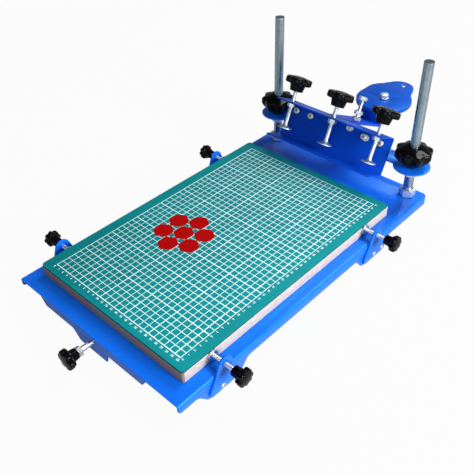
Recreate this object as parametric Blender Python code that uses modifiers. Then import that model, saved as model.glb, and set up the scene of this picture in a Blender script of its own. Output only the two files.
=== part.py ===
"""Tabletop screen printing machine.

A folded steel deck carries a printing board with a cutting mat on it. Four side
screws and one front screw set the board's place. Two threaded posts at the rear
carry a beam between nuts and star knobs, and a screen clamp with three clamp
screws is hinged to the beam. An arm behind the clamp holds a counterweight and
a stop bolt.

Metres, +Z up. The front faces -Y, the floor is z = 0, and the origin lies under
the middle of the machine's outline. The clamp is modelled as it stands in its
tilted frame and then leans back by CLAMP_TILT, which is the raised position.
"""

import math

import bmesh
import bpy
from mathutils import Euler, Matrix, Vector

# Driving dimensions
DECK_LENGTH = 0.570
DECK_WIDTH = 0.338
GAP = 0.0003
SHEET = 0.0025
CUT_PAST = 0.010

# Reach of the front knob and of the counterweight past the deck's front and the posts
FRONT_REACH = 0.045
POST_INSET = 0.020
HINGE_FORWARD = 0.010
WEIGHT_Y = 0.146
WEIGHT_LOBE_RADIUS = 0.027
WEIGHT_LOBE_OFFSET = 0.0555
LENGTH_OVERALL = (
    FRONT_REACH + DECK_LENGTH - POST_INSET - HINGE_FORWARD
    + WEIGHT_Y + WEIGHT_LOBE_OFFSET + WEIGHT_LOBE_RADIUS
)

# Deck
DECK_TOP = 0.034
DECK_BEND = 0.003
DECK_INNER_BEND = 0.0008
DECK_FRONT = FRONT_REACH - LENGTH_OVERALL / 2
DECK_REAR = DECK_FRONT + DECK_LENGTH
DECK_SKIRT = 0.019
SKIRT_CORNER = 0.006
DECK_REAR_CORNER = 0.009
DECK_FRONT_CORNER = 0.003

# Feet: the parts of the skirt that reach the floor
FOOT_HALF_WIDTH = 0.029
FOOT_FLARE = 0.016
FOOT_ROUND = 0.012
FOOT_CORNER = 0.007

# Printing board and mat
BOARD_SIDE_MARGIN = 0.020
BOARD_FRONT_MARGIN = 0.028
BOARD_REAR_MARGIN = 0.092
BOARD_WIDTH = DECK_WIDTH - 2 * BOARD_SIDE_MARGIN
BOARD_LENGTH = DECK_LENGTH - BOARD_FRONT_MARGIN - BOARD_REAR_MARGIN
BOARD_THICKNESS = 0.0175
BOARD_CORNER = 0.003
BOARD_CENTRE = DECK_FRONT + BOARD_FRONT_MARGIN + BOARD_LENGTH / 2
MAT_THICKNESS = 0.003
MAT_CORNER = 0.005
MAT_TOP = DECK_TOP + BOARD_THICKNESS + MAT_THICKNESS + 2 * GAP

# Side brackets and their screws
FRONT_ROW_INSET = 0.078
REAR_ROW_INSET = 0.159
FRONT_ROW = DECK_FRONT + FRONT_ROW_INSET
REAR_ROW = DECK_REAR - REAR_ROW_INSET
BRACKET_PLATE = 0.003
BRACKET_HALF_WIDTH = 0.033
BRACKET_LOW = 0.003
BRACKET_HEAD = 0.0125
BRACKET_HEAD_DROP = 0.002
BRACKET_CORNER = 0.006
BRACKET_WAIST = 0.002
BRACKET_SIDE_ROUND = 0.060
BRACKET_FACE = DECK_WIDTH / 2 + GAP + BRACKET_PLATE
SIDE_SCREW_DROP = 0.009
SIDE_SCREW_HEIGHT = MAT_TOP - SIDE_SCREW_DROP
SCREW_RADIUS = 0.004
SCREW_HOLE = SCREW_RADIUS + GAP
SIDE_FOOT_RADIUS = 0.008
SIDE_FOOT_THICKNESS = 0.003
LEFT_SCREW_REACH = 0.0077
RIGHT_SCREW_REACH = 0.0147
SIDE_KNOB_RADIUS = 0.0125
SIDE_KNOB_THICKNESS = 0.0095
SIDE_HUB_RADIUS = 0.0072
SIDE_HUB_LENGTH = 0.012
SIDE_KNOB_LOBES = 7
CENTRE_SHIFT = (LEFT_SCREW_REACH - RIGHT_SCREW_REACH) / 2

# Front flange, screw and locknut
FLANGE_LEFT = DECK_WIDTH / 2 - 0.049
FLANGE_RIGHT = DECK_WIDTH / 2 - 0.057
FLANGE_SETBACK = 0.0004
FLANGE_LOW = 0.017
FLANGE_SLOPE = 0.011
FLANGE_CORNER = 0.006
TONGUE_LEFT = 0.032
TONGUE_RIGHT = 0.027
TONGUE_LEFT_FLARE = 0.012
TONGUE_RIGHT_FLARE = 0.004
TONGUE_LEFT_ROUND = 0.008
TONGUE_RIGHT_ROUND = 0.002
TONGUE_LOW = 0.002
FRONT_SCREW_HEIGHT = 0.022
FRONT_SCREW_BACK = 0.015
FRONT_KNOB_RADIUS = 0.015
FRONT_KNOB_THICKNESS = 0.010
FRONT_HUB_RADIUS = 0.008
FRONT_HUB_LENGTH = 0.010
FRONT_SCREW_REACH = FRONT_REACH - GAP - FRONT_HUB_LENGTH - FRONT_KNOB_THICKNESS
FRONT_NUT_FLATS = 0.013
FRONT_NUT_THICKNESS = 0.0065
FRONT_NUT_REACH = FRONT_SCREW_REACH - FRONT_NUT_THICKNESS

# Posts and nuts
POST_MARGIN = 0.028
POST_SPACING = DECK_WIDTH - 2 * POST_MARGIN
POST_Y = DECK_REAR - POST_INSET
POST_RADIUS = 0.008
POST_TOP = 0.268
POST_CLEARANCE = 0.0004
POST_HOLE = POST_RADIUS + POST_CLEARANCE
POST_NUT_FLATS = 0.024
POST_NUT_THICKNESS = 0.013
POST_FOOT = DECK_TOP - SHEET - GAP - POST_NUT_THICKNESS

# Beam
BEAM_ABOVE_MAT = 0.036
BEAM_TOP = MAT_TOP + BEAM_ABOVE_MAT
BEAM_PLATE = 0.003
BEAM_END_RADIUS = 0.030
BEAM_FORWARD = 0.0127
BEAM_BACK = 0.021
POST_KNOB_RADIUS = 0.0287
POST_KNOB_THICKNESS = 0.014
POST_HUB_LOW = 0.012
POST_HUB_HIGH = 0.017
POST_HUB_LENGTH = 0.0125
POST_CROWN = 0.008
POST_CROWN_LOW = 0.0215
POST_CROWN_HIGH = 0.0135
POST_KNOB_LOBES = 8

# Clamp channel, in the tilted frame with the hinge axis as its origin
CLAMP_TILT = math.radians(25.8)
CLAMP_CLEARANCE = 0.0051
CLAMP_HALF_WIDTH = POST_SPACING / 2 - POST_KNOB_RADIUS - CLAMP_CLEARANCE
CLAMP_BACK = -0.01025
CLAMP_FRONT = -0.0542
CLAMP_TOP = 0.0318
CLAMP_LOW = -0.0350
CLAMP_BEND = 0.004
CLAMP_INNER_BEND = CLAMP_BEND - SHEET

# Hinges between beam and clamp
HINGE_SHARE = 0.6623
HINGE_Y = POST_Y - HINGE_FORWARD
HINGE_RISE = 0.006
HINGE_SPREAD = CLAMP_HALF_WIDTH * HINGE_SHARE
HINGE_WIDTH = 0.044
HINGE_BARREL = 0.005
HINGE_PIN = 0.0025
HINGE_BORE = HINGE_PIN + 0.00015
HINGE_LEAF = 0.002
HINGE_KNUCKLE = 0.015
HINGE_CLEARANCE = 0.0015
BEAM_LEAF_REACH = 0.025
CLAMP_LEAF_RISE = 0.0245

# Clamp screws
CLAMP_SCREW_MARGIN = 0.0195
CLAMP_SCREW_SPREAD = CLAMP_HALF_WIDTH - CLAMP_SCREW_MARGIN
CLAMP_SCREW_Y = -0.0319
CLAMP_FOOT_LOW = -0.0170
CLAMP_FOOT_RADIUS = 0.0125
CLAMP_FOOT_RIM = 0.0015
CLAMP_FOOT_CONE = 0.006
CLAMP_SCREW_TOP = 0.0490
CLAMP_HUB_RADIUS = 0.0125
CLAMP_HUB_LENGTH = 0.0125
CLAMP_KNOB_RADIUS = 0.0235
CLAMP_KNOB_THICKNESS = 0.0115
CLAMP_KNOB_LOBES = 7
WELD_NUT_RADIUS = 0.0075
WELD_NUT_THICKNESS = 0.008

# Counterweight arm: a bent plate, with its run back to the riser in the tilted frame
ARM_HALF_WIDTH = 0.022
ARM_PLATE = 0.005
ARM_LEG_LOW = 0.0045
ARM_RUN_END = 0.0993
ARM_RISE = 0.020
ARM_SHELF = 0.062

# Stop bolt through the arm
STOP_BOLT_X = 0.011
STOP_BOLT_Y = 0.0251
STOP_BOLT_LOW = 0.0078
STOP_BOLT_HEAD = 0.0060
STOP_BOLT_RISE = 0.042
STOP_BOLT_TOP = CLAMP_TOP + STOP_BOLT_RISE
STOP_NUT_RAISED = 0.011
STOP_NUT_THICKNESS = 0.0065
STOP_NUT_FLATS = 0.013

# Counterweight, level in the raised position and turned a little about its bolt
WEIGHT_X = -0.002
WEIGHT_TURN = math.radians(2.5)
WEIGHT_THICKNESS = 0.008
WEIGHT_RADIUS = 0.0505
WEIGHT_NECK = 0.055
WEIGHT_HOLE_OFFSET = 0.0655
WEIGHT_HOLE_RADIUS = 0.0025
WEIGHT_BOLT_RADIUS = 0.005
WEIGHT_BOLT_FLATS = 0.016
WEIGHT_BOLT_HEAD = 0.007
WEIGHT_WASHER_RADIUS = 0.010
WEIGHT_WASHER = 0.0015

# Facets of round pieces
ROUND_FINE = 40
ROUND_SMALL = 20
ARC_STEPS = 4
LOBE_STEPS = 6
SMOOTH_ANGLE = math.radians(35)

# Turns that lay a flat outline or a turned shape along another axis
SIDE_PLANE = (math.pi / 2, 0, math.pi / 2)
FRONT_PLANE = (math.pi / 2, 0, 0)
TO_RIGHT = (0, math.pi / 2, 0)
TO_LEFT = (0, -math.pi / 2, 0)
TO_FRONT = (math.pi / 2, 0, 0)

# Finishes: colour, roughness, metallic
FINISHES = {
    "deck_enamel": ((0.012, 0.13, 0.78), 0.32, 0.0),
    "clamp_enamel": ((0.008, 0.06, 0.55), 0.32, 0.0),
    "weight_enamel": ((0.010, 0.12, 0.75), 0.34, 0.0),
    "mat_vinyl": ((0.006, 0.26, 0.24), 0.55, 0.0),
    "board_wood": ((0.55, 0.46, 0.38), 0.70, 0.0),
    "knob_plastic": ((0.012, 0.012, 0.014), 0.28, 0.0),
    "post_steel": ((0.45, 0.47, 0.48), 0.30, 1.0),
    "zinc": ((0.72, 0.74, 0.75), 0.25, 1.0),
    "yellow_zinc": ((0.62, 0.55, 0.38), 0.35, 1.0),
}


def clear_scene():
    """Remove every object of the scene the script starts in."""
    for item in list(bpy.data.objects):
        bpy.data.objects.remove(item)


def new_collection(name):
    """Make a collection and link it to the scene."""
    collection = bpy.data.collections.new(name)
    bpy.context.scene.collection.children.link(collection)
    return collection


def make_finish(name):
    """Make one finish as a Principled material."""
    colour, roughness, metallic = FINISHES[name]
    material = bpy.data.materials.new(name)
    material.use_nodes = True
    shader = material.node_tree.nodes["Principled BSDF"]
    shader.inputs["Base Color"].default_value = (*colour, 1)
    shader.inputs["Roughness"].default_value = roughness
    shader.inputs["Metallic"].default_value = metallic
    return material


def fillet(corners, steps=ARC_STEPS):
    """Round the corners (x, y, radius) of a closed outline with arcs."""
    outline = []
    for index, (x, y, radius) in enumerate(corners):
        corner = Vector((x, y))
        if radius == 0:
            outline.append(corner)
            continue
        before = (Vector(corners[index - 1][:2]) - corner).normalized()
        after = (Vector(corners[(index + 1) % len(corners)][:2]) - corner).normalized()
        half = before.angle(after) / 2
        centre = corner + (before + after).normalized() * (radius / math.sin(half))
        start = corner + before * (radius / math.tan(half)) - centre
        end = corner + after * (radius / math.tan(half)) - centre
        sweep = math.atan2(start.cross(end), start.dot(end))
        first = math.atan2(start.y, start.x)
        outline.extend(arc(centre, radius, first, first + sweep, steps))
    return outline


def arc(centre, radius, first, last, steps):
    """Points of an arc about a centre, both ends included."""
    angles = [first + (last - first) * step / steps for step in range(steps + 1)]
    return [centre + radius * Vector((math.cos(angle), math.sin(angle))) for angle in angles]


def circle(x, y, radius, steps=ROUND_SMALL):
    """Points of a full circle, as a hole or a disc in a flat outline."""
    return arc(Vector((x, y)), radius, 0, 2 * math.pi * (steps - 1) / steps, steps - 1)


def place(item, name, collection, location=(0, 0, 0), rotation=(0, 0, 0), parent=None):
    """Name an object, link it and set where it stands in its parent."""
    item.name = name
    collection.objects.link(item)
    item.location = location
    item.rotation_euler = rotation
    item.parent = parent
    return item


def bake(item):
    """Turn an object's modifiers, or a curve's solid, into a plain mesh."""
    bpy.context.view_layer.update()
    depsgraph = bpy.context.evaluated_depsgraph_get()
    mesh = bpy.data.meshes.new_from_object(item.evaluated_get(depsgraph))
    work = bmesh.new()
    work.from_mesh(mesh)
    bmesh.ops.remove_doubles(work, verts=work.verts, dist=0.00001)
    work.to_mesh(mesh)
    work.free()
    return mesh


def smooth(mesh):
    """Shade round stretches smooth and keep edges sharp."""
    mesh.shade_smooth()
    mesh.set_sharp_from_angle(angle=SMOOTH_ANGLE)


class Builder:
    """Makes pieces, keeps the finishes and holds the two collections."""

    def __init__(self):
        self.parts = new_collection("screen_printing_machine")
        self.cutters = new_collection("cutters")
        self.finishes = {name: make_finish(name) for name in FINISHES}

    def piece(self, name, mesh, finish, location=(0, 0, 0), rotation=(0, 0, 0), parent=None):
        """Put a mesh in the machine as a named sub-part with its finish."""
        mesh.materials.clear()
        mesh.materials.append(self.finishes[finish])
        smooth(mesh)
        item = bpy.data.objects.new(name, mesh)
        return place(item, name, self.parts, location, rotation, parent)

    def pivot(self, name, location, rotation=(0, 0, 0), parent=None):
        """An empty on a joint's axis."""
        item = bpy.data.objects.new(name, None)
        return place(item, name, self.parts, location, rotation, parent)

    def tool(self, mesh, location=(0, 0, 0), rotation=(0, 0, 0)):
        """A helper solid for a Boolean, kept out of the machine."""
        item = bpy.data.objects.new("cutter", mesh)
        item.hide_render = True
        item.display_type = "WIRE"
        return place(item, "cutter", self.cutters, location, rotation)

    def plate(self, loops, thickness):
        """A flat plate from its outline and holes, centred on its thickness."""
        curve = bpy.data.curves.new("outline", "CURVE")
        curve.dimensions = "2D"
        curve.fill_mode = "BOTH"
        curve.extrude = thickness / 2
        for loop in loops:
            spline = curve.splines.new("POLY")
            spline.points.add(len(loop) - 1)
            for point, (x, y) in zip(spline.points, loop):
                point.co = (x, y, 0, 1)
            spline.use_cyclic_u = True
        item = place(bpy.data.objects.new("outline", curve), "outline", self.cutters)
        mesh = bake(item)
        bpy.data.objects.remove(item)
        bpy.data.curves.remove(curve)
        return mesh

    def turned(self, profile, steps=ROUND_SMALL):
        """A solid turned about Z from (radius, height) points, top to bottom."""
        mesh = bpy.data.meshes.new("profile")
        work = bmesh.new()
        points = [work.verts.new((radius, 0, height)) for radius, height in profile]
        for upper, lower in zip(points, points[1:]):
            work.edges.new((upper, lower))
        work.to_mesh(mesh)
        work.free()
        item = place(bpy.data.objects.new("profile", mesh), "profile", self.cutters)
        screw = item.modifiers.new("Screw", "SCREW")
        screw.steps = steps
        screw.render_steps = steps
        screw.use_merge_vertices = True
        screw.merge_threshold = 0.00001
        solid = bake(item)
        bpy.data.objects.remove(item)
        return solid

    def cylinder(self, radius, low, high, steps=ROUND_SMALL):
        """A plain cylinder about Z."""
        return self.turned([(0, high), (radius, high), (radius, low), (0, low)], steps)

    def hexagon(self, flats, low, high, bore=0):
        """A hexagon prism about Z, measured across its flats, with a bore."""
        loops = [circle(0, 0, flats / math.sqrt(3), 6)]
        if bore:
            loops.append(circle(0, 0, bore))
        mesh = self.plate(loops, high - low)
        return self.laid(mesh, (0, 0, (low + high) / 2))

    def laid(self, mesh, location=(0, 0, 0), rotation=(0, 0, 0)):
        """Turn and shift a mesh in its own frame."""
        turn = Euler(rotation).to_matrix().to_4x4()
        mesh.transform(Matrix.Translation(location) @ turn)
        return mesh

    def combined(self, base, tools, operation="UNION", solver="EXACT"):
        """Join solids to a base or cut them out of it, each a tool object."""
        item = self.tool(base)
        for tool in tools:
            modifier = item.modifiers.new("Boolean", "BOOLEAN")
            modifier.operation = operation
            modifier.solver = solver
            modifier.object = tool
        mesh = bake(item)
        for used in [item, *tools]:
            bpy.data.objects.remove(used)
        return mesh

    def star_knob(self, radius, thickness, hub, hub_length, lobes, bore=0, crown=0):
        """A star knob on a hub that grows from hub[0] to hub[1] along Z, with a crown on it."""
        star = self.plate([star_outline(radius, lobes)], thickness)
        self.laid(star, (0, 0, hub_length + thickness / 2))
        self.round_rims(star, thickness * 0.18)
        top = hub_length + thickness
        head = [(0, top - thickness / 2), (hub[1], top - thickness / 2)]
        if crown:
            head = [(0, top + crown), (POST_CROWN_HIGH, top + crown), (POST_CROWN_LOW, top),
                    (hub[1], top - thickness / 2)]
        stem = self.turned(head + [(hub[1], hub_length), (hub[0], 0), (0, 0)])
        knob = self.combined(star, [self.tool(stem)])
        if bore:
            drill = self.cylinder(bore, -CUT_PAST, top + crown + CUT_PAST, ROUND_FINE)
            knob = self.combined(knob, [self.tool(drill)], "DIFFERENCE")
        return knob

    def shift(self, distance):
        """Move the whole machine along X, so that the origin lies under its middle."""
        for item in self.parts.objects:
            if item.parent is None:
                item.location.x += distance

    def round_rims(self, mesh, width):
        """Bevel the two rims of a flat plate that lies in the XY plane."""
        work = bmesh.new()
        work.from_mesh(mesh)
        rims = [edge for edge in work.edges if is_rim(edge)]
        bmesh.ops.bevel(
            work, geom=rims, offset=width, affect="EDGES", segments=2, profile=0.5,
            material=-1,
        )
        work.to_mesh(mesh)
        work.free()


def is_rim(edge):
    """True where an edge parts a level face from an upright one."""
    tilts = [abs(face.normal.z) for face in edge.link_faces]
    return max(tilts) > 0.9 and min(tilts) < 0.1


def star_outline(radius, lobes):
    """A round outline with one narrow flute between each two lobes."""
    points = []
    count = lobes * LOBE_STEPS
    for step in range(count):
        angle = 2 * math.pi * step / count
        flute = (0.5 - 0.5 * math.cos(lobes * angle)) ** 2
        reach = radius * (1 - 0.2 * flute)
        points.append((reach * math.cos(angle), reach * math.sin(angle)))
    return points


def bell_outline(half_width, drop, head):
    """A bracket's outline: a round head about the origin on legs that curve out below it."""
    reach = math.hypot(half_width, drop)
    first = math.acos(head / reach) - math.atan2(drop, half_width)
    centre = Vector((0, -BRACKET_HEAD_DROP))
    top = arc(centre, head, first, math.pi - first, 3 * ARC_STEPS)
    waist_x = (top[0].x + half_width) / 2 - BRACKET_WAIST
    waist_y = (top[0].y - drop) / 2
    feet = fillet([
        (top[-1].x, top[-1].y, 0),
        (-waist_x, waist_y, BRACKET_SIDE_ROUND),
        (-half_width, -drop, BRACKET_CORNER),
        (half_width, -drop, BRACKET_CORNER),
        (waist_x, waist_y, BRACKET_SIDE_ROUND),
        (top[0].x, top[0].y, 0),
    ])
    return top + feet[1:-1]


def strip_outline(path, thickness):
    """A bent strip's outline: its upper line, and the same line one thickness below."""
    points = [Vector(point) for point in path]
    lower = []
    for index, point in enumerate(points):
        before = points[max(index - 1, 0)]
        after = points[min(index + 1, len(points) - 1)]
        leave = (after - point) if index < len(points) - 1 else (point - before)
        arrive = (point - before) if index else leave
        normal_in = Vector((arrive.y, -arrive.x)).normalized()
        normal_out = Vector((leave.y, -leave.x)).normalized()
        mitre = (normal_in + normal_out).normalized()
        lower.append(point + mitre * (thickness / mitre.dot(normal_in)))
    return points + lower[::-1]


def build_deck(builder):
    """The folded deck: a top, two skirts with feet, and a flange at the front."""
    half = DECK_WIDTH / 2
    middle = (DECK_FRONT + DECK_REAR) / 2
    section = fillet([
        (-half, -CUT_PAST, 0), (-half, DECK_TOP, DECK_BEND), (half, DECK_TOP, DECK_BEND),
        (half, -CUT_PAST, 0), (half - SHEET, -CUT_PAST, 0),
        (half - SHEET, DECK_TOP - SHEET, DECK_INNER_BEND),
        (SHEET - half, DECK_TOP - SHEET, DECK_INNER_BEND), (SHEET - half, -CUT_PAST, 0),
    ])
    deck = builder.plate([section], DECK_LENGTH + 2 * CUT_PAST)
    deck = builder.laid(deck, (0, middle, 0), FRONT_PLANE)
    side_view = builder.plate([side_outline()], DECK_WIDTH + 2 * CUT_PAST)
    deck = builder.combined(deck, [builder.tool(side_view, rotation=SIDE_PLANE)], "INTERSECT")
    deck = builder.combined(deck, corner_cutters(builder), "DIFFERENCE")
    flange = builder.plate([flange_outline()], SHEET)
    deck = builder.combined(
        deck, [builder.tool(flange, (0, DECK_FRONT + FLANGE_SETBACK + SHEET / 2, 0), FRONT_PLANE)],
        solver="MANIFOLD")
    post_drill = builder.cylinder(POST_HOLE, -CUT_PAST, CUT_PAST, ROUND_FINE)
    screw_drill = builder.cylinder(SCREW_HOLE, -CUT_PAST, CUT_PAST)
    drills = [
        builder.tool(post_drill, (-POST_SPACING / 2, POST_Y, DECK_TOP)),
        builder.tool(post_drill, (POST_SPACING / 2, POST_Y, DECK_TOP)),
        builder.tool(screw_drill, (0, DECK_FRONT, FRONT_SCREW_HEIGHT), TO_FRONT),
    ]
    deck = builder.combined(deck, drills, "DIFFERENCE")
    return builder.piece("base_deck", deck, "deck_enamel")


def side_outline():
    """Side view of the deck: the skirt's lower edge comes down to a foot at each row."""
    outline = [
        (DECK_FRONT, DECK_TOP + CUT_PAST, 0),
        (DECK_FRONT, DECK_SKIRT, SKIRT_CORNER),
    ]
    for row in (FRONT_ROW, REAR_ROW):
        outline += [
            (row - FOOT_HALF_WIDTH - FOOT_FLARE, DECK_SKIRT, FOOT_ROUND),
            (row - FOOT_HALF_WIDTH, 0, FOOT_CORNER),
            (row + FOOT_HALF_WIDTH, 0, FOOT_CORNER),
            (row + FOOT_HALF_WIDTH + FOOT_FLARE, DECK_SKIRT, FOOT_ROUND),
        ]
    outline += [(DECK_REAR, DECK_SKIRT, 0), (DECK_REAR, DECK_TOP + CUT_PAST, 0)]
    return fillet(outline)


def corner_cutters(builder):
    """Rounding pieces for the deck's corners in plan."""
    cutters = []
    for y, side_y, radius in (
        (DECK_REAR, 1, DECK_REAR_CORNER), (DECK_FRONT, -1, DECK_FRONT_CORNER),
    ):
        for side_x in (-1, 1):
            corner = Vector((side_x * DECK_WIDTH / 2, y))
            centre = corner - radius * Vector((side_x, side_y))
            first = math.atan2(0, side_x)
            last = first + side_x * side_y * math.pi / 2
            rim = arc(centre, radius, first, last, 2 * ARC_STEPS)
            beyond = 0.004
            outer = [
                corner + Vector((-radius * side_x, beyond * side_y)),
                corner + Vector((beyond * side_x, beyond * side_y)),
                corner + Vector((beyond * side_x, -radius * side_y)),
            ]
            cutters.append(builder.tool(builder.plate([rim + outer], 0.1)))
    return cutters


def flange_outline():
    """Front view of the front flange with the tongue that holds the front screw."""
    top = DECK_TOP - 0.0005
    return fillet([
        (-FLANGE_LEFT, top, 0),
        (FLANGE_SLOPE - FLANGE_LEFT, FLANGE_LOW, FLANGE_CORNER),
        (-TONGUE_LEFT - TONGUE_LEFT_FLARE, FLANGE_LOW, TONGUE_LEFT_ROUND),
        (-TONGUE_LEFT, TONGUE_LOW, TONGUE_LEFT_ROUND),
        (TONGUE_RIGHT, TONGUE_LOW, TONGUE_RIGHT_ROUND),
        (TONGUE_RIGHT + TONGUE_RIGHT_FLARE, FLANGE_LOW, TONGUE_RIGHT_ROUND),
        (FLANGE_RIGHT - FLANGE_SLOPE, FLANGE_LOW, FLANGE_CORNER),
        (FLANGE_RIGHT, top, 0),
    ])


def build_board(builder):
    """The printing board with the cutting mat on it."""
    half_x = BOARD_WIDTH / 2
    half_y = BOARD_LENGTH / 2
    for name, finish, thickness, corner, low in (
        ("platen_board", "board_wood", BOARD_THICKNESS, BOARD_CORNER, DECK_TOP + GAP),
        ("cutting_mat", "mat_vinyl", MAT_THICKNESS, MAT_CORNER, MAT_TOP - MAT_THICKNESS),
    ):
        outline = fillet([
            (-half_x, -half_y, corner), (half_x, -half_y, corner),
            (half_x, half_y, corner), (-half_x, half_y, corner),
        ])
        mesh = builder.plate([outline], thickness)
        builder.piece(name, mesh, finish, (0, BOARD_CENTRE, low + thickness / 2))


def build_side_screws(builder):
    """Four brackets on the skirts, each with a screw and a star knob."""
    drop = SIDE_SCREW_HEIGHT - BRACKET_LOW
    outline = bell_outline(BRACKET_HALF_WIDTH, drop, BRACKET_HEAD)
    bracket = builder.plate([outline, circle(0, 0, SCREW_HOLE)], BRACKET_PLATE)
    foot = BOARD_WIDTH / 2 + GAP
    knob = builder.star_knob(
        SIDE_KNOB_RADIUS, SIDE_KNOB_THICKNESS, (SIDE_HUB_RADIUS, SIDE_HUB_RADIUS),
        SIDE_HUB_LENGTH, SIDE_KNOB_LOBES)
    for side_name, side, turn, reach in (
        ("left", -1, TO_LEFT, LEFT_SCREW_REACH), ("right", 1, TO_RIGHT, RIGHT_SCREW_REACH),
    ):
        hub = BRACKET_FACE + reach - foot
        screw = builder.turned([
            (0, hub - GAP), (SCREW_RADIUS, hub - GAP), (SCREW_RADIUS, SIDE_FOOT_THICKNESS),
            (SIDE_FOOT_RADIUS, SIDE_FOOT_THICKNESS), (SIDE_FOOT_RADIUS, 0), (0, 0),
        ])
        for end, row in (("front", FRONT_ROW), ("rear", REAR_ROW)):
            label = f"{end}_{side_name}"
            x = side * (BRACKET_FACE - BRACKET_PLATE / 2)
            builder.piece(
                f"side_bracket_{label}", bracket, "deck_enamel",
                (x, row, SIDE_SCREW_HEIGHT), SIDE_PLANE)
            axis = builder.pivot(
                f"side_screw_axis_{label}", (side * foot, row, SIDE_SCREW_HEIGHT), turn)
            builder.piece(f"side_screw_{label}", screw, "zinc", parent=axis)
            builder.piece(f"side_knob_{label}", knob, "knob_plastic", (0, 0, hub), parent=axis)


def build_front_screw(builder):
    """The front screw with its locknut and star knob."""
    axis = builder.pivot("front_screw_axis", (0, DECK_FRONT, FRONT_SCREW_HEIGHT), TO_FRONT)
    screw = builder.cylinder(SCREW_RADIUS, -SHEET - FRONT_SCREW_BACK, FRONT_SCREW_REACH)
    builder.piece("front_screw", screw, "zinc", parent=axis)
    nut = builder.hexagon(FRONT_NUT_FLATS, 0, FRONT_NUT_THICKNESS, SCREW_HOLE)
    builder.piece("front_locknut", nut, "zinc", (0, 0, FRONT_NUT_REACH), parent=axis)
    knob = builder.star_knob(
        FRONT_KNOB_RADIUS, FRONT_KNOB_THICKNESS, (FRONT_HUB_RADIUS, FRONT_HUB_RADIUS),
        FRONT_HUB_LENGTH, SIDE_KNOB_LOBES)
    builder.piece(
        "front_knob", knob, "knob_plastic", (0, 0, FRONT_SCREW_REACH + GAP), parent=axis)


def build_posts(builder):
    """Two threaded posts, each with a nut below the deck and one on top of it."""
    post = builder.cylinder(POST_RADIUS, POST_FOOT, POST_TOP, ROUND_FINE)
    lower_nut = builder.hexagon(POST_NUT_FLATS, POST_FOOT, POST_FOOT + POST_NUT_THICKNESS)
    post = builder.combined(post, [builder.tool(lower_nut)])
    nut = builder.hexagon(POST_NUT_FLATS, 0, POST_NUT_THICKNESS, POST_HOLE)
    for side_name, side in (("left", -1), ("right", 1)):
        x = side * POST_SPACING / 2
        builder.piece(f"post_{side_name}", post, "post_steel", (x, POST_Y, 0))
        builder.piece(f"post_nut_{side_name}", nut, "zinc", (x, POST_Y, DECK_TOP + GAP))


def beam_outline():
    """Plan of the beam: a band with a round end about each post."""
    outline = []
    half = POST_SPACING / 2
    front_angle = math.asin(BEAM_FORWARD / BEAM_END_RADIUS)
    rear_angle = math.asin(BEAM_BACK / BEAM_END_RADIUS)
    outline += arc(
        Vector((half, 0)), BEAM_END_RADIUS, front_angle - math.pi, math.pi - rear_angle, 28)
    outline += arc(
        Vector((-half, 0)), BEAM_END_RADIUS, rear_angle, 2 * math.pi - front_angle, 28)
    return outline


def build_beam(builder):
    """The beam on the posts, between a nut below and a star knob above each end."""
    level = builder.pivot("beam_level", (0, POST_Y, BEAM_TOP))
    half = POST_SPACING / 2
    loops = [beam_outline()]
    loops += [circle(side * half, 0, POST_HOLE, ROUND_FINE) for side in (-1, 1)]
    beam = builder.plate(loops, BEAM_PLATE)
    builder.piece("beam", beam, "clamp_enamel", (0, 0, -BEAM_PLATE / 2), parent=level)
    nut = builder.hexagon(POST_NUT_FLATS, -POST_NUT_THICKNESS, 0, POST_HOLE)
    knob = builder.star_knob(
        POST_KNOB_RADIUS, POST_KNOB_THICKNESS, (POST_HUB_LOW, POST_HUB_HIGH),
        POST_HUB_LENGTH, POST_KNOB_LOBES, POST_HOLE, POST_CROWN)
    for side_name, side in (("left", -1), ("right", 1)):
        builder.piece(
            f"beam_nut_{side_name}", nut, "zinc",
            (side * half, 0, -BEAM_PLATE - GAP), parent=level)
        builder.piece(
            f"post_knob_{side_name}", knob, "knob_plastic", (side * half, 0, GAP), parent=level)
    return level


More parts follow.
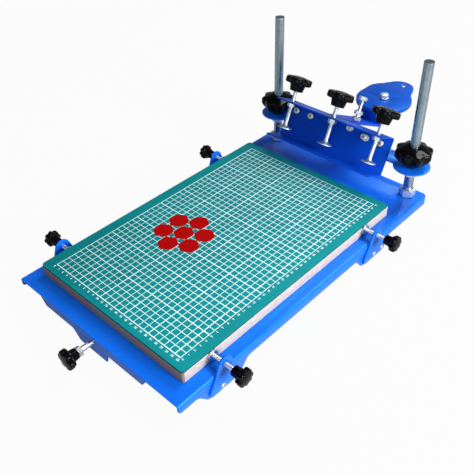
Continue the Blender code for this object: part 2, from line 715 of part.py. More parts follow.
def build_hinges(builder, level, tilt):
    """Two hinges: a leaf on the beam with the pin, and a leaf on the clamp's back."""
    half = HINGE_WIDTH / 2
    inner = HINGE_KNUCKLE / 2 + GAP
    barrel = builder.turned([
        (0, half), (HINGE_BARREL, half), (HINGE_BARREL, inner), (HINGE_PIN, inner),
        (HINGE_PIN, -inner), (HINGE_BARREL, -inner), (HINGE_BARREL, -half), (0, -half),
    ])
    drop = HINGE_RISE
    notch = inner + GAP
    clear = HINGE_BARREL + HINGE_CLEARANCE
    leaf_outline = [
        (-half, 0), (-notch, 0), (-notch, clear), (notch, clear), (notch, 0), (half, 0),
        (half, BEAM_LEAF_REACH), (-half, BEAM_LEAF_REACH),
    ]
    flat = builder.laid(
        builder.plate([leaf_outline], HINGE_LEAF), (0, 0, GAP + HINGE_LEAF / 2 - drop))
    beam_leaf = builder.combined(flat, [builder.tool(barrel, (0, 0, 0), TO_RIGHT)])

    wall = CLAMP_BACK + GAP
    side = HINGE_LEAF / 2
    bracket = builder.plate([[
        (0, -side), (wall, -side), (wall, CLAMP_LEAF_RISE),
        (wall + HINGE_LEAF, CLAMP_LEAF_RISE), (wall + HINGE_LEAF, side), (0, side),
    ]], HINGE_WIDTH)
    knuckle = builder.cylinder(HINGE_BARREL, -HINGE_KNUCKLE / 2, HINGE_KNUCKLE / 2)
    room = builder.plate([[
        (-clear, -clear), (clear, -clear), (clear, clear), (-clear, clear),
    ]], half)
    shift = inner + half / 2
    bracket = builder.laid(bracket, rotation=SIDE_PLANE)
    bracket = builder.combined(
        bracket, [builder.tool(room, (end * shift, 0, 0), SIDE_PLANE) for end in (-1, 1)],
        "DIFFERENCE")
    clamp_leaf = builder.combined(bracket, [builder.tool(knuckle, (0, 0, 0), TO_RIGHT)])
    bore = builder.cylinder(HINGE_BORE, -half, half)
    clamp_leaf = builder.combined(
        clamp_leaf, [builder.tool(bore, (0, 0, 0), TO_RIGHT)], "DIFFERENCE")
    for side_name, side_x in (("left", -1), ("right", 1)):
        x = side_x * HINGE_SPREAD
        builder.piece(
            f"hinge_leaf_beam_{side_name}", beam_leaf, "zinc",
            (x, HINGE_Y - POST_Y, drop), parent=level)
        builder.piece(f"hinge_leaf_clamp_{side_name}", clamp_leaf, "zinc", (x, 0, 0), parent=tilt)


def build_channel(builder, tilt):
    """The clamp's channel, open to the front, drilled for the screws."""
    section = fillet([
        (CLAMP_FRONT, CLAMP_LOW, 0), (CLAMP_BACK, CLAMP_LOW, CLAMP_BEND),
        (CLAMP_BACK, CLAMP_TOP, CLAMP_BEND), (CLAMP_FRONT, CLAMP_TOP, 0),
        (CLAMP_FRONT, CLAMP_TOP - SHEET, 0),
        (CLAMP_BACK - SHEET, CLAMP_TOP - SHEET, CLAMP_INNER_BEND),
        (CLAMP_BACK - SHEET, CLAMP_LOW + SHEET, CLAMP_INNER_BEND),
        (CLAMP_FRONT, CLAMP_LOW + SHEET, 0),
    ])
    channel = builder.plate([section], 2 * CLAMP_HALF_WIDTH)
    drills = [
        builder.tool(
            builder.cylinder(SCREW_HOLE, -CUT_PAST, CUT_PAST),
            (CLAMP_SCREW_Y, CLAMP_TOP, offset), TO_FRONT)
        for offset in (-CLAMP_SCREW_SPREAD, 0, CLAMP_SCREW_SPREAD)
    ]
    channel = builder.combined(channel, drills, "DIFFERENCE")
    builder.piece("clamp_channel", channel, "clamp_enamel", rotation=SIDE_PLANE, parent=tilt)


def build_clamp_screws(builder, tilt):
    """Three clamp screws with swivel feet, star knobs and weld nuts."""
    foot = CLAMP_FOOT_LOW
    screw = builder.turned([
        (0, CLAMP_SCREW_TOP), (SCREW_RADIUS, CLAMP_SCREW_TOP),
        (SCREW_RADIUS, foot + CLAMP_FOOT_RIM + CLAMP_FOOT_CONE),
        (CLAMP_FOOT_RADIUS, foot + CLAMP_FOOT_RIM), (CLAMP_FOOT_RADIUS, foot), (0, foot),
    ])
    knob = builder.star_knob(
        CLAMP_KNOB_RADIUS, CLAMP_KNOB_THICKNESS, (CLAMP_HUB_RADIUS, CLAMP_HUB_RADIUS),
        CLAMP_HUB_LENGTH, CLAMP_KNOB_LOBES)
    nut = builder.turned([
        (SCREW_HOLE, 0), (WELD_NUT_RADIUS, 0), (WELD_NUT_RADIUS, -WELD_NUT_THICKNESS),
        (SCREW_HOLE, -WELD_NUT_THICKNESS), (SCREW_HOLE, 0),
    ])
    for label, x in (
        ("left", -CLAMP_SCREW_SPREAD), ("middle", 0), ("right", CLAMP_SCREW_SPREAD),
    ):
        axis = builder.pivot(f"clamp_screw_axis_{label}", (x, CLAMP_SCREW_Y, 0), parent=tilt)
        builder.piece(f"clamp_screw_{label}", screw, "zinc", parent=axis)
        builder.piece(
            f"clamp_knob_{label}", knob, "knob_plastic",
            (0, 0, CLAMP_SCREW_TOP + GAP), parent=axis)
        builder.piece(
            f"weld_nut_{label}", nut, "yellow_zinc",
            (x, CLAMP_SCREW_Y, CLAMP_TOP - SHEET - GAP), parent=tilt)


def arm_path():
    """Upper line of the arm in the tilted frame, from the leg's foot to the shelf's end."""
    face = CLAMP_BACK + GAP
    lean = Vector((-math.sin(CLAMP_TILT), math.cos(CLAMP_TILT)))
    level = Vector((math.cos(CLAMP_TILT), math.sin(CLAMP_TILT)))
    corner = Vector((ARM_RUN_END, CLAMP_TOP))
    shelf = corner + lean * ARM_RISE
    return [(face, ARM_LEG_LOW), (face, CLAMP_TOP), corner, shelf, shelf + level * ARM_SHELF]


def build_arm(builder, tilt):
    """The bent arm behind the clamp, drilled for the stop bolt and the weight's bolt."""
    arm = builder.plate([strip_outline(arm_path(), ARM_PLATE)], 2 * ARM_HALF_WIDTH)
    drill = builder.tool(
        builder.cylinder(SCREW_HOLE, -CUT_PAST, CUT_PAST),
        (STOP_BOLT_Y, CLAMP_TOP, STOP_BOLT_X), TO_FRONT)
    arm = builder.combined(arm, [drill], "DIFFERENCE")
    builder.piece("counterweight_arm", arm, "clamp_enamel", rotation=SIDE_PLANE, parent=tilt)


def build_stop_bolt(builder, tilt):
    """The stop bolt with its head, its locknut and the nut on the arm."""
    bolt = builder.cylinder(SCREW_RADIUS, STOP_BOLT_LOW, STOP_BOLT_TOP - 0.001)
    nuts = [
        (STOP_BOLT_TOP - STOP_BOLT_HEAD, STOP_BOLT_TOP),
        (CLAMP_TOP + STOP_NUT_RAISED, CLAMP_TOP + STOP_NUT_RAISED + STOP_NUT_THICKNESS),
        (CLAMP_TOP + GAP, CLAMP_TOP + GAP + STOP_NUT_THICKNESS),
    ]
    tools = [builder.tool(builder.hexagon(STOP_NUT_FLATS, low, high)) for low, high in nuts]
    bolt = builder.combined(bolt, tools)
    builder.piece("stop_bolt", bolt, "zinc", (STOP_BOLT_X, STOP_BOLT_Y, 0), parent=tilt)


def weight_outline():
    """Plan of the counterweight: a disc with a smaller lobe behind, necks rounded."""
    big = WEIGHT_RADIUS
    small = WEIGHT_LOBE_RADIUS
    neck = WEIGHT_NECK
    offset = WEIGHT_LOBE_OFFSET
    along = ((big + neck) ** 2 - (small + neck) ** 2 + offset ** 2) / (2 * offset)
    aside = math.sqrt((big + neck) ** 2 - along ** 2)
    big_angle = math.atan2(along, aside)
    small_angle = math.atan2(along - offset, aside)
    disc = arc(
        Vector((0, 0)), big, math.pi - big_angle, 2 * math.pi + big_angle, 32)
    right = arc(
        Vector((aside, along)), neck, big_angle + math.pi, small_angle + math.pi, 3)
    lobe = arc(Vector((0, offset)), small, small_angle, math.pi - small_angle, 16)
    left = arc(Vector((-aside, along)), neck, -small_angle, -big_angle, 3)
    return disc + right[1:-1] + lobe + left[1:-1]


def build_counterweight(builder, pivot):
    """The pear-shaped weight plate on the arm's shelf, with its bolt."""
    run_top = Vector((ARM_RUN_END, CLAMP_TOP))
    level = -ARM_RUN_END * math.sin(CLAMP_TILT) + run_top.y * math.cos(CLAMP_TILT)
    low = level + ARM_RISE + GAP
    loops = [weight_outline(), circle(0, 0, WEIGHT_BOLT_RADIUS + GAP)]
    loops.append(circle(0, WEIGHT_HOLE_OFFSET, WEIGHT_HOLE_RADIUS, 12))
    plate = builder.plate(loops, WEIGHT_THICKNESS)
    builder.piece(
        "counterweight", plate, "weight_enamel",
        (WEIGHT_X, WEIGHT_Y, low + WEIGHT_THICKNESS / 2), (0, 0, WEIGHT_TURN), parent=pivot)
    top = low + WEIGHT_THICKNESS + GAP
    washer = builder.turned([
        (0, WEIGHT_WASHER), (WEIGHT_WASHER_RADIUS, WEIGHT_WASHER), (WEIGHT_WASHER_RADIUS, 0),
        (WEIGHT_BOLT_RADIUS, 0), (WEIGHT_BOLT_RADIUS, -WEIGHT_THICKNESS), (0, -WEIGHT_THICKNESS),
    ])
    head = builder.hexagon(WEIGHT_BOLT_FLATS, WEIGHT_WASHER / 2, WEIGHT_WASHER + WEIGHT_BOLT_HEAD)
    bolt = builder.combined(washer, [builder.tool(head)])
    builder.piece("counterweight_bolt", bolt, "zinc", (WEIGHT_X, WEIGHT_Y, top), parent=pivot)


def main():
    """Build the whole machine."""
    clear_scene()
    builder = Builder()
    build_deck(builder)
    build_board(builder)
    build_side_screws(builder)
    build_front_screw(builder)
    build_posts(builder)
    level = build_beam(builder)
    pivot = builder.pivot("clamp_pivot", (0, -HINGE_FORWARD, HINGE_RISE), parent=level)
    tilt = builder.pivot("clamp_tilt", (0, 0, 0), (-CLAMP_TILT, 0, 0), parent=pivot)
    build_hinges(builder, level, tilt)
    build_channel(builder, tilt)
    build_clamp_screws(builder, tilt)
    build_arm(builder, tilt)
    build_stop_bolt(builder, tilt)
    build_counterweight(builder, pivot)
    builder.shift(CENTRE_SHIFT)


main()
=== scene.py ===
"""Dressed model of a tabletop screen printing machine.

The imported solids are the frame. The folded plates get softened edges, the screws
get threads, the knobs get their flutes and the fasteners their chamfers. Every
surface gets a finish made from nodes, and a pale studio with a camera stands round.

Metres, +Z up, the front faces -Y. The clamp's pieces are made in the clamp's own
level frame, whose origin is the hinge axis, and are then leant back with it.
"""

import sys
import logging
import math
from collections.abc import Callable, Sequence
from dataclasses import dataclass
from enum import Enum

import bmesh
import bpy
from mathutils import Euler, Matrix, Vector


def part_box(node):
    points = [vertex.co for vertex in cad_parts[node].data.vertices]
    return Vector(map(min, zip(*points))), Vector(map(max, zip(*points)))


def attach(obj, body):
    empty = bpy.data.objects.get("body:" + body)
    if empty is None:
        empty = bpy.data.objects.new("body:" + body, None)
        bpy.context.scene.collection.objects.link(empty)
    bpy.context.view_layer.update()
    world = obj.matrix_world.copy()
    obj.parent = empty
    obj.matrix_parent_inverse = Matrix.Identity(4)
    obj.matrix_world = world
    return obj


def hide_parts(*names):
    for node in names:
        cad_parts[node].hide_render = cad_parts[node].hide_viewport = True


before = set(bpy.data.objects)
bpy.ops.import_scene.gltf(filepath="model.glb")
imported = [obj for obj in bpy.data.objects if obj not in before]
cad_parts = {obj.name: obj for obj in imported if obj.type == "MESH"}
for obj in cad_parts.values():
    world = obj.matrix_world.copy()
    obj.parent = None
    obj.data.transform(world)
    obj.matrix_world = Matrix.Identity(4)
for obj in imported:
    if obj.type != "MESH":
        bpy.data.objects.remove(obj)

LOG = logging.getLogger("press")

Pair = tuple[float, float]
Triple = tuple[float, float, float]
Four = tuple[float, float, float, float]
Colour = Triple
Rule = Callable[[float], Pair]

SHIFT = -0.0035
MAT_TOP = 0.0551
GRID_LEFT = -0.1335
GRID_FRONT = -0.31875
SQUARE = 0.010
COLUMNS = 26
ROWS = 42
LEVEL = Matrix.Identity(4)


class Worded(Enum):
    """A choice whose name stands in node names."""

    @property
    def word(self) -> str:
        """Return the choice's word in node names."""
        return self.name.lower()


class Side(Worded):
    """The machine's two sides, as signs along X."""

    LEFT = -1
    RIGHT = 1

    @property
    def out(self) -> "Axis":
        """Return the direction that leads away from the machine on this side."""
        return Axis[self.name]


class Row(Worded):
    """The two rows of side screws, as places along Y."""

    FRONT = -0.28375
    REAR = 0.04925


class Axis(Enum):
    """Turns that lay a shape's +Z along another direction."""

    UP = (0.0, 0.0, 0.0)
    RIGHT = (0.0, math.pi / 2, 0.0)
    LEFT = (0.0, -math.pi / 2, 0.0)
    FRONT = (math.pi / 2, 0.0, 0.0)

    def at(self, x: float, y: float, z: float) -> Matrix:
        """Return the matrix that puts a shape at a point, turned along this direction."""
        return Matrix.Translation((x, y, z)) @ Euler(self.value).to_matrix().to_4x4()


class Tone:
    """A shader value on which ordinary arithmetic makes the nodes."""

    def __init__(self, palette: "Palette", socket: bpy.types.NodeSocket) -> None:
        """Wrap an output socket of a palette's tree."""
        self.palette = palette
        self.socket = socket

    def _maths(self, operation: str, *others: "Tone | float", swap: bool = False) -> "Tone":
        """Make one Math node of this value and others, this one last where they swap."""
        values = [*others, self] if swap else [self, *others]
        return self.palette.node(
            "ShaderNodeMath", {"operation": operation}, dict(enumerate(values)))

    def __add__(self, other: "Tone | float") -> "Tone":
        """Return the sum."""
        return self._maths("ADD", other)

    def __sub__(self, other: "Tone | float") -> "Tone":
        """Return the difference."""
        return self._maths("SUBTRACT", other)

    def __rsub__(self, other: "Tone | float") -> "Tone":
        """Return the other value less this one."""
        return self._maths("SUBTRACT", other, swap=True)

    def __mul__(self, other: "Tone | float") -> "Tone":
        """Return the product."""
        return self._maths("MULTIPLY", other)

    def __gt__(self, other: "Tone | float") -> "Tone":
        """Return 1 where this is the greater."""
        return self._maths("GREATER_THAN", other)

    def __lt__(self, other: "Tone | float") -> "Tone":
        """Return 1 where this is the lesser."""
        return self._maths("LESS_THAN", other)

    def __abs__(self) -> "Tone":
        """Return the size without its sign."""
        return self._maths("ABSOLUTE")

    __radd__ = __add__
    __rmul__ = __mul__

    def repeat(self, period: float) -> "Tone":
        """Return the distance to the nearest multiple of a period."""
        return self._maths("PINGPONG", period / 2)

    def most(self, other: "Tone | float") -> "Tone":
        """Return the greater of two values."""
        return self._maths("MAXIMUM", other)

    def least(self, other: "Tone | float") -> "Tone":
        """Return the lesser of two values."""
        return self._maths("MINIMUM", other)

    def step(self, low: float, high: float) -> "Tone":
        """Return 0 below low, 1 above high and a smooth rise between."""
        return self.palette.node(
            "ShaderNodeMapRange", {"interpolation_type": "SMOOTHSTEP"},
            {0: self, 1: low, 2: high, 3: 0.0, 4: 1.0})

    def band(self, low: float, full: float, past: float, high: float) -> "Tone":
        """Return 1 between full and past, with a smooth rise before and fall behind."""
        return self.step(low, full) * (1 - self.step(past, high))


class Palette:
    """One material's nodes, or the world's."""

    def __init__(self, name: str, tree: bpy.types.NodeTree | None = None) -> None:
        """Start an empty material, or take another tree.

        Args:
            name: The material's name.
            tree: The tree to fill where there is no material.
        """
        if tree is None:
            self.material = bpy.data.materials.new(name)
            self.material.use_nodes = True
            tree = self.material.node_tree
        self.tree = tree
        self.tree.nodes.clear()

    def node(
        self, kind: str, settings: dict[str, object], sockets: dict[int | str, object],
        output: int | str = 0,
    ) -> Tone:
        """Make a node, with its settings first and its sockets after them.

        Args:
            kind: The node's type.
            settings: Properties of the node.
            sockets: Values or tones for its inputs, by number or name.
            output: The output that is returned.

        Returns:
            The chosen output.
        """
        made = self.tree.nodes.new(kind)
        for name, value in settings.items():
            setattr(made, name, value)
        for key, value in sockets.items():
            if isinstance(value, Tone):
                self.tree.links.new(value.socket, made.inputs[key])
            else:
                made.inputs[key].default_value = value
        return Tone(self, made.outputs[output])

    def place(self) -> Tone:
        """Return the Object coordinates."""
        return self.node("ShaderNodeTexCoord", {}, {}, "Object")

    def along(self, axis: str) -> Tone:
        """Return one of the Object coordinates, in metres."""
        return self.node("ShaderNodeSeparateXYZ", {}, {0: self.place()}, axis)

    def noise(
        self, scale: float, detail: float = 2.0, stretch: Triple = (1.0, 1.0, 1.0),
    ) -> Tone:
        """Return noise about 0.5, by clouds per metre, finer layers and stretch."""
        spot = self.node("ShaderNodeMapping", {}, {0: self.place(), 3: stretch})
        return self.node(
            "ShaderNodeTexNoise", {}, {"Vector": spot, "Scale": scale, "Detail": detail})

    def blend(self, factor: Tone, first: Tone | Colour, second: Tone | Colour) -> Tone:
        """Return a colour between two, with a factor of 0 for the first."""
        ends = [c if isinstance(c, Tone) else (*c, 1.0) for c in (first, second)]
        return self.node(
            "ShaderNodeMix", {"data_type": "RGBA", "clamp_factor": True},
            {0: factor, 6: ends[0], 7: ends[1]}, 2)

    def surface(
        self, colour: Tone, roughness: Tone, height: Tone, relief: float,
        **plain: float | tuple[float, ...],
    ) -> bpy.types.Material:
        """Close the material with a shader.

        Args:
            colour: The base colour.
            roughness: The roughness.
            height: The relief's pattern.
            relief: The relief's depth in metres.
            plain: Numbers that are the same all over, by socket name with underscores.

        Returns:
            The finished material.
        """
        normal = self.node(
            "ShaderNodeBump", {}, {"Strength": 1.0, "Distance": relief, "Height": height})
        sockets = {name.replace("_", " "): value for name, value in plain.items()}
        sockets.update({"Base Color": colour, "Roughness": roughness, "Normal": normal})
        shader = self.node("ShaderNodeBsdfPrincipled", {}, sockets)
        self.out(shader)
        return self.material

    def rays(self) -> list[Tone]:
        """Return whether a ray is the camera's, a glossy one or one through glass."""
        return [
            self.node("ShaderNodeLightPath", {}, {}, f"Is {kind} Ray")
            for kind in ("Camera", "Glossy", "Transmission")]

    def out(self, shader: Tone, kind: str = "ShaderNodeOutputMaterial") -> None:
        """Link a shader to the surface of the material or of the world."""
        end = self.tree.nodes.new(kind)
        self.tree.links.new(shader.socket, end.inputs["Surface"])


@dataclass(frozen=True)
class Finish:
    """A finish that becomes one material, shared by the pieces that carry it."""

    name: str
    slot: str

    def material(self) -> bpy.types.Material:
        """Return the finish's material, made the first time."""
        return bpy.data.materials.get(self.name) or self.mix(Palette(self.name))

    def mix(self, palette: Palette) -> bpy.types.Material:
        """Make the material's nodes."""
        raise NotImplementedError


@dataclass(frozen=True)
class Enamel(Finish):
    """Gloss stoving enamel: a faint orange peel, and cloudy in colour and gloss."""

    colour: Colour
    deep: Colour
    coat: float = 0.06
    coat_roughness: float = 0.16
    tint: Four = (0.12, 0.76, 1.0, 1.0)
    shine: float = 0.5

    def mix(self, palette: Palette) -> bpy.types.Material:
        """Make the enamel's nodes.

        Args:
            palette: The material's empty tree.

        Returns:
            The material.
        """
        cloud = palette.noise(9.0, 4.0)
        haze = palette.noise(45.0, 3.0)
        peel = palette.noise(420.0, 1.0) + palette.noise(1400.0, 1.0) * 0.3
        return palette.surface(
            palette.blend(cloud.step(0.34, 0.62), self.deep, self.colour),
            haze * 0.14 + 0.30, peel, 0.00006,
            Coat_Weight=self.coat, Coat_Roughness=self.coat_roughness,
            Specular_IOR_Level=self.shine, Specular_Tint=self.tint)


@dataclass(frozen=True)
class Moulded(Finish):
    """Black moulded plastic, polished by hands on its high spots."""

    colour: Colour
    dust: Colour

    def mix(self, palette: Palette) -> bpy.types.Material:
        """Make the plastic's nodes.

        Args:
            palette: The material's empty tree.

        Returns:
            The material.
        """
        cloud = palette.noise(140.0, 4.0)
        grain = palette.noise(2200.0, 2.0)
        return palette.surface(
            palette.blend(cloud.step(0.45, 0.75), self.colour, self.dust),
            cloud * 0.05 + 0.07, grain, 0.000004, Specular_IOR_Level=0.11)


@dataclass(frozen=True)
class Plated(Finish):
    """Bright plating over steel, with faint scratches and dull patches."""

    colour: Colour
    dull: Colour
    gloss: float

    def mix(self, palette: Palette) -> bpy.types.Material:
        """Make the plating's nodes.

        Args:
            palette: The material's empty tree.

        Returns:
            The material.
        """
        patch = palette.noise(160.0, 5.0)
        scratch = palette.noise(500.0, 3.0, (1.0, 6.0, 1.0))
        return palette.surface(
            palette.blend(patch.step(0.40, 0.70), self.colour, self.dull),
            patch * 0.18 + scratch * 0.10 + self.gloss, scratch, 0.00002, Metallic=1.0)


@dataclass(frozen=True)
class TurnedSteel(Finish):
    """Satin steel of the posts, with fine bands round them from the rolling."""

    colour: Colour
    dull: Colour

    def mix(self, palette: Palette) -> bpy.types.Material:
        """Make the steel's nodes.

        Args:
            palette: The material's empty tree.

        Returns:
            The material.
        """
        bands = palette.noise(60.0, 4.0, (0.4, 0.4, 14.0))
        patch = palette.noise(90.0, 5.0)
        return palette.surface(
            palette.blend(patch.step(0.38, 0.72), self.colour, self.dull),
            bands * 0.08 + patch * 0.06 + 0.13, bands, 0.000015, Metallic=1.0)


@dataclass(frozen=True)
class PrintedMat(Finish):
    """Vinyl cutting mat with its printed grid, and a fine stipple between the lines."""

    colour: Colour
    deep: Colour
    line: Colour
    thin: float = 0.00042
    bold: float = 0.00066
    # Painted shade: the dark colour of the mat's cut sides.
    edge: Colour = (0.004, 0.040, 0.045)

    def mix(self, palette: Palette) -> bpy.types.Material:
        """Make the mat's nodes, with the lines measured from the grid's corner.

        Args:
            palette: The material's empty tree.

        Returns:
            The material.
        """
        across = palette.along("X") - GRID_LEFT
        along = palette.along("Y") - GRID_FRONT
        columns, rows = (
            self._lines(value, SQUARE, self.thin).most(self._lines(value, 5 * SQUARE, self.bold))
            for value in (across, along))
        lines = columns.most(rows)
        inside = self._within(across, COLUMNS * SQUARE).least(self._within(along, ROWS * SQUARE))
        wear = palette.noise(55.0, 5.0)
        stipple = palette.noise(1600.0, 2.0)
        cloud = palette.noise(12.0, 4.0)
        ink = lines.least(inside) * (wear * 0.5 + 0.70).least(1.0)
        ground = palette.blend(cloud.step(0.35, 0.68), self.deep, self.colour)
        # Painted shade: the sides below the mat's top take the dark colour.
        cut = 1 - palette.along("Z").step(MAT_TOP - 0.0012, MAT_TOP - 0.0006)
        printed = palette.blend(ink, ground, self.line)
        return palette.surface(
            palette.blend(cut, printed, self.edge),
            stipple * 0.16 + wear * 0.10 + 0.42, stipple + ink * 0.6, 0.00004,
            Specular_IOR_Level=0.06)

    @staticmethod
    def _lines(value: Tone, period: float, half: float) -> Tone:
        """Return 1 on lines that repeat at a period, with half a line's width."""
        near = (value + period / 2).repeat(period)
        return near.step(period / 2 - half * 1.4, period / 2 - half * 0.6)

    def _within(self, value: Tone, reach: float) -> Tone:
        """Return 1 between the grid's first line and its last, at the reach."""
        return (value > -self.bold).least(value < reach + self.bold)


@dataclass(frozen=True)
class BoardEdge(Finish):
    """Sawn edge of a pressed wood board: fibres along it, and darker specks. Its front face is
    painted darker, in grey and red-brown blotches: painted shade.
    """

    colour: Colour
    dark: Colour
    speck: Colour
    # Painted shade: the darker colours of the board's front face.
    stained: Colour = (0.200, 0.205, 0.205)
    stained_red: Colour = (0.260, 0.170, 0.160)
    front: float = -0.3305
    middle: float = 0.0430

    def mix(self, palette: Palette) -> bpy.types.Material:
        """Make the board's nodes.

        Args:
            palette: The material's empty tree.

        Returns:
            The material.
        """
        fibre = palette.noise(90.0, 6.0, (1.0, 1.0, 9.0))
        chips = palette.noise(330.0, 3.0, (0.5, 0.5, 1.6))
        skin = abs(palette.along("Z") - self.middle).step(0.0058, 0.0082)
        core = palette.blend(fibre.step(0.36, 0.66), self.dark, self.colour)
        flecked = palette.blend(chips.step(0.60, 0.74) * 0.55, core, self.speck)
        faced = palette.blend(skin * 0.5, flecked, self.colour)
        # Painted shade on the front face: grey and red-brown blotches, darker than the rest of the
        # edge.
        front_blotches = palette.noise(38.0, 4.0).step(0.40, 0.64)
        painted_front_shade = palette.blend(front_blotches, self.stained, self.stained_red)
        front = palette.along("Y") < self.front
        shaded_front = palette.blend(chips.step(0.52, 0.70), painted_front_shade, self.speck)
        return palette.surface(
            palette.blend(front, faced, shaded_front),
            fibre * 0.20 + 0.62, fibre + chips * 0.6, 0.00035, Specular_IOR_Level=0.25)


@dataclass(frozen=True)
class Ink(Finish):
    """Printing ink laid on the mat, thicker here and thinner there."""

    colour: Colour
    thin: Colour

    def mix(self, palette: Palette) -> bpy.types.Material:
        """Make the ink's nodes.

        Args:
            palette: The material's empty tree.

        Returns:
            The material.
        """
        film = palette.noise(120.0, 5.0)
        weave = palette.noise(1100.0, 1.0)
        return palette.surface(
            palette.blend(film.step(0.35, 0.70), self.colour, self.thin),
            film * 0.20 + 0.44, film + weave * 0.4, 0.00002, Specular_IOR_Level=0.04)


DECK_BLUE = Enamel("deck_gloss_blue", "deck_enamel", (0.006, 0.146, 0.81), (0.005, 0.130, 0.75))
# Painted light: the beam's blue is the deck's paint made brighter, against the shade of the post
# knobs on its discs.
BEAM_BLUE = Enamel("beam_gloss_blue", "clamp_enamel", (0.008, 0.170, 0.92), (0.006, 0.148, 0.84))
CLAMP_BLUE = Enamel(
    "clamp_gloss_blue", "clamp_enamel", (0.003, 0.066, 0.58), (0.002, 0.053, 0.50), 0.0,
    tint=(0.10, 0.62, 1.0, 1.0), shine=0.22)
WEIGHT_BLUE = Enamel(
    "weight_gloss_blue", "weight_enamel", (0.001, 0.074, 0.50), (0.001, 0.066, 0.46), 0.0,
    shine=0.35)
KNOB_BLACK = Moulded("knob_black", "knob_plastic", (0.0025, 0.0025, 0.003), (0.005, 0.005, 0.006))
# Painted shade: a dark fill in the screw heads' recesses and a dark ring round each head.
RECESS_SHADE = Moulded(
    "painted_recess_shade", "knob_plastic", (0.004, 0.008, 0.020), (0.010, 0.014, 0.024))
BRIGHT_ZINC = Plated("bright_zinc", "zinc", (0.78, 0.80, 0.82), (0.62, 0.64, 0.66), 0.20)
FLAT_NICKEL = Plated("flat_nickel", "zinc", (0.80, 0.89, 0.89), (0.66, 0.75, 0.75), 0.34)
NUT_ZINC = Plated("weld_nut_zinc", "yellow_zinc", (0.66, 0.74, 0.72), (0.52, 0.60, 0.58), 0.34)
POST_STEEL = TurnedSteel("post_satin_steel", "post_steel", (0.41, 0.48, 0.54), (0.33, 0.40, 0.46))
MAT_GREEN = PrintedMat(
    "mat_green_vinyl", "mat_vinyl", (0.0030, 0.236, 0.256), (0.0026, 0.210, 0.228),
    (0.82, 1.0, 1.0))
BOARD_EDGE = BoardEdge(
    "board_sawn_edge", "board_wood", (0.58, 0.53, 0.50), (0.44, 0.38, 0.36), (0.22, 0.15, 0.16))
RED_INK = Ink("red_ink", "mat_vinyl", (0.38, 0.001, 0.0015), (0.34, 0.001, 0.001))
WHITE_INK = Ink("white_ink", "mat_vinyl", (0.95, 1.0, 1.0), (0.82, 0.95, 0.95))


def linked(name: str, data: bpy.types.ID) -> bpy.types.Object:
    """Link a new object to the scene.

    Args:
        name: The object's name.
        data: Its mesh, lamp, text or camera.

    Returns:
        The object.
    """
    thing = bpy.data.objects.new(name, data)
    bpy.context.scene.collection.objects.link(thing)
    return thing


def verts_of(geom: Sequence[object]) -> list[bmesh.types.BMVert]:
    """Return the vertices among an operator's results."""
    return [part for part in geom if isinstance(part, bmesh.types.BMVert)]


def rim_of(geom: Sequence[object]) -> list[bmesh.types.BMEdge]:
    """Return the open edges among an operator's results."""
    return [part for part in geom if isinstance(part, bmesh.types.BMEdge) and part.is_boundary]


def crossed(reach: float, height: float, narrow: int, core: float) -> Rule:
    """Return the rule of a ring of four arms, with its reach and the core's share of it."""
    return lambda angle: (
        reach * (core + (1 - core) * abs(math.cos(2 * angle)) ** narrow), height)


def flat(radius: float, height: float) -> Rule:
    """Return the rule of a round ring."""
    return lambda angle: (radius, height)


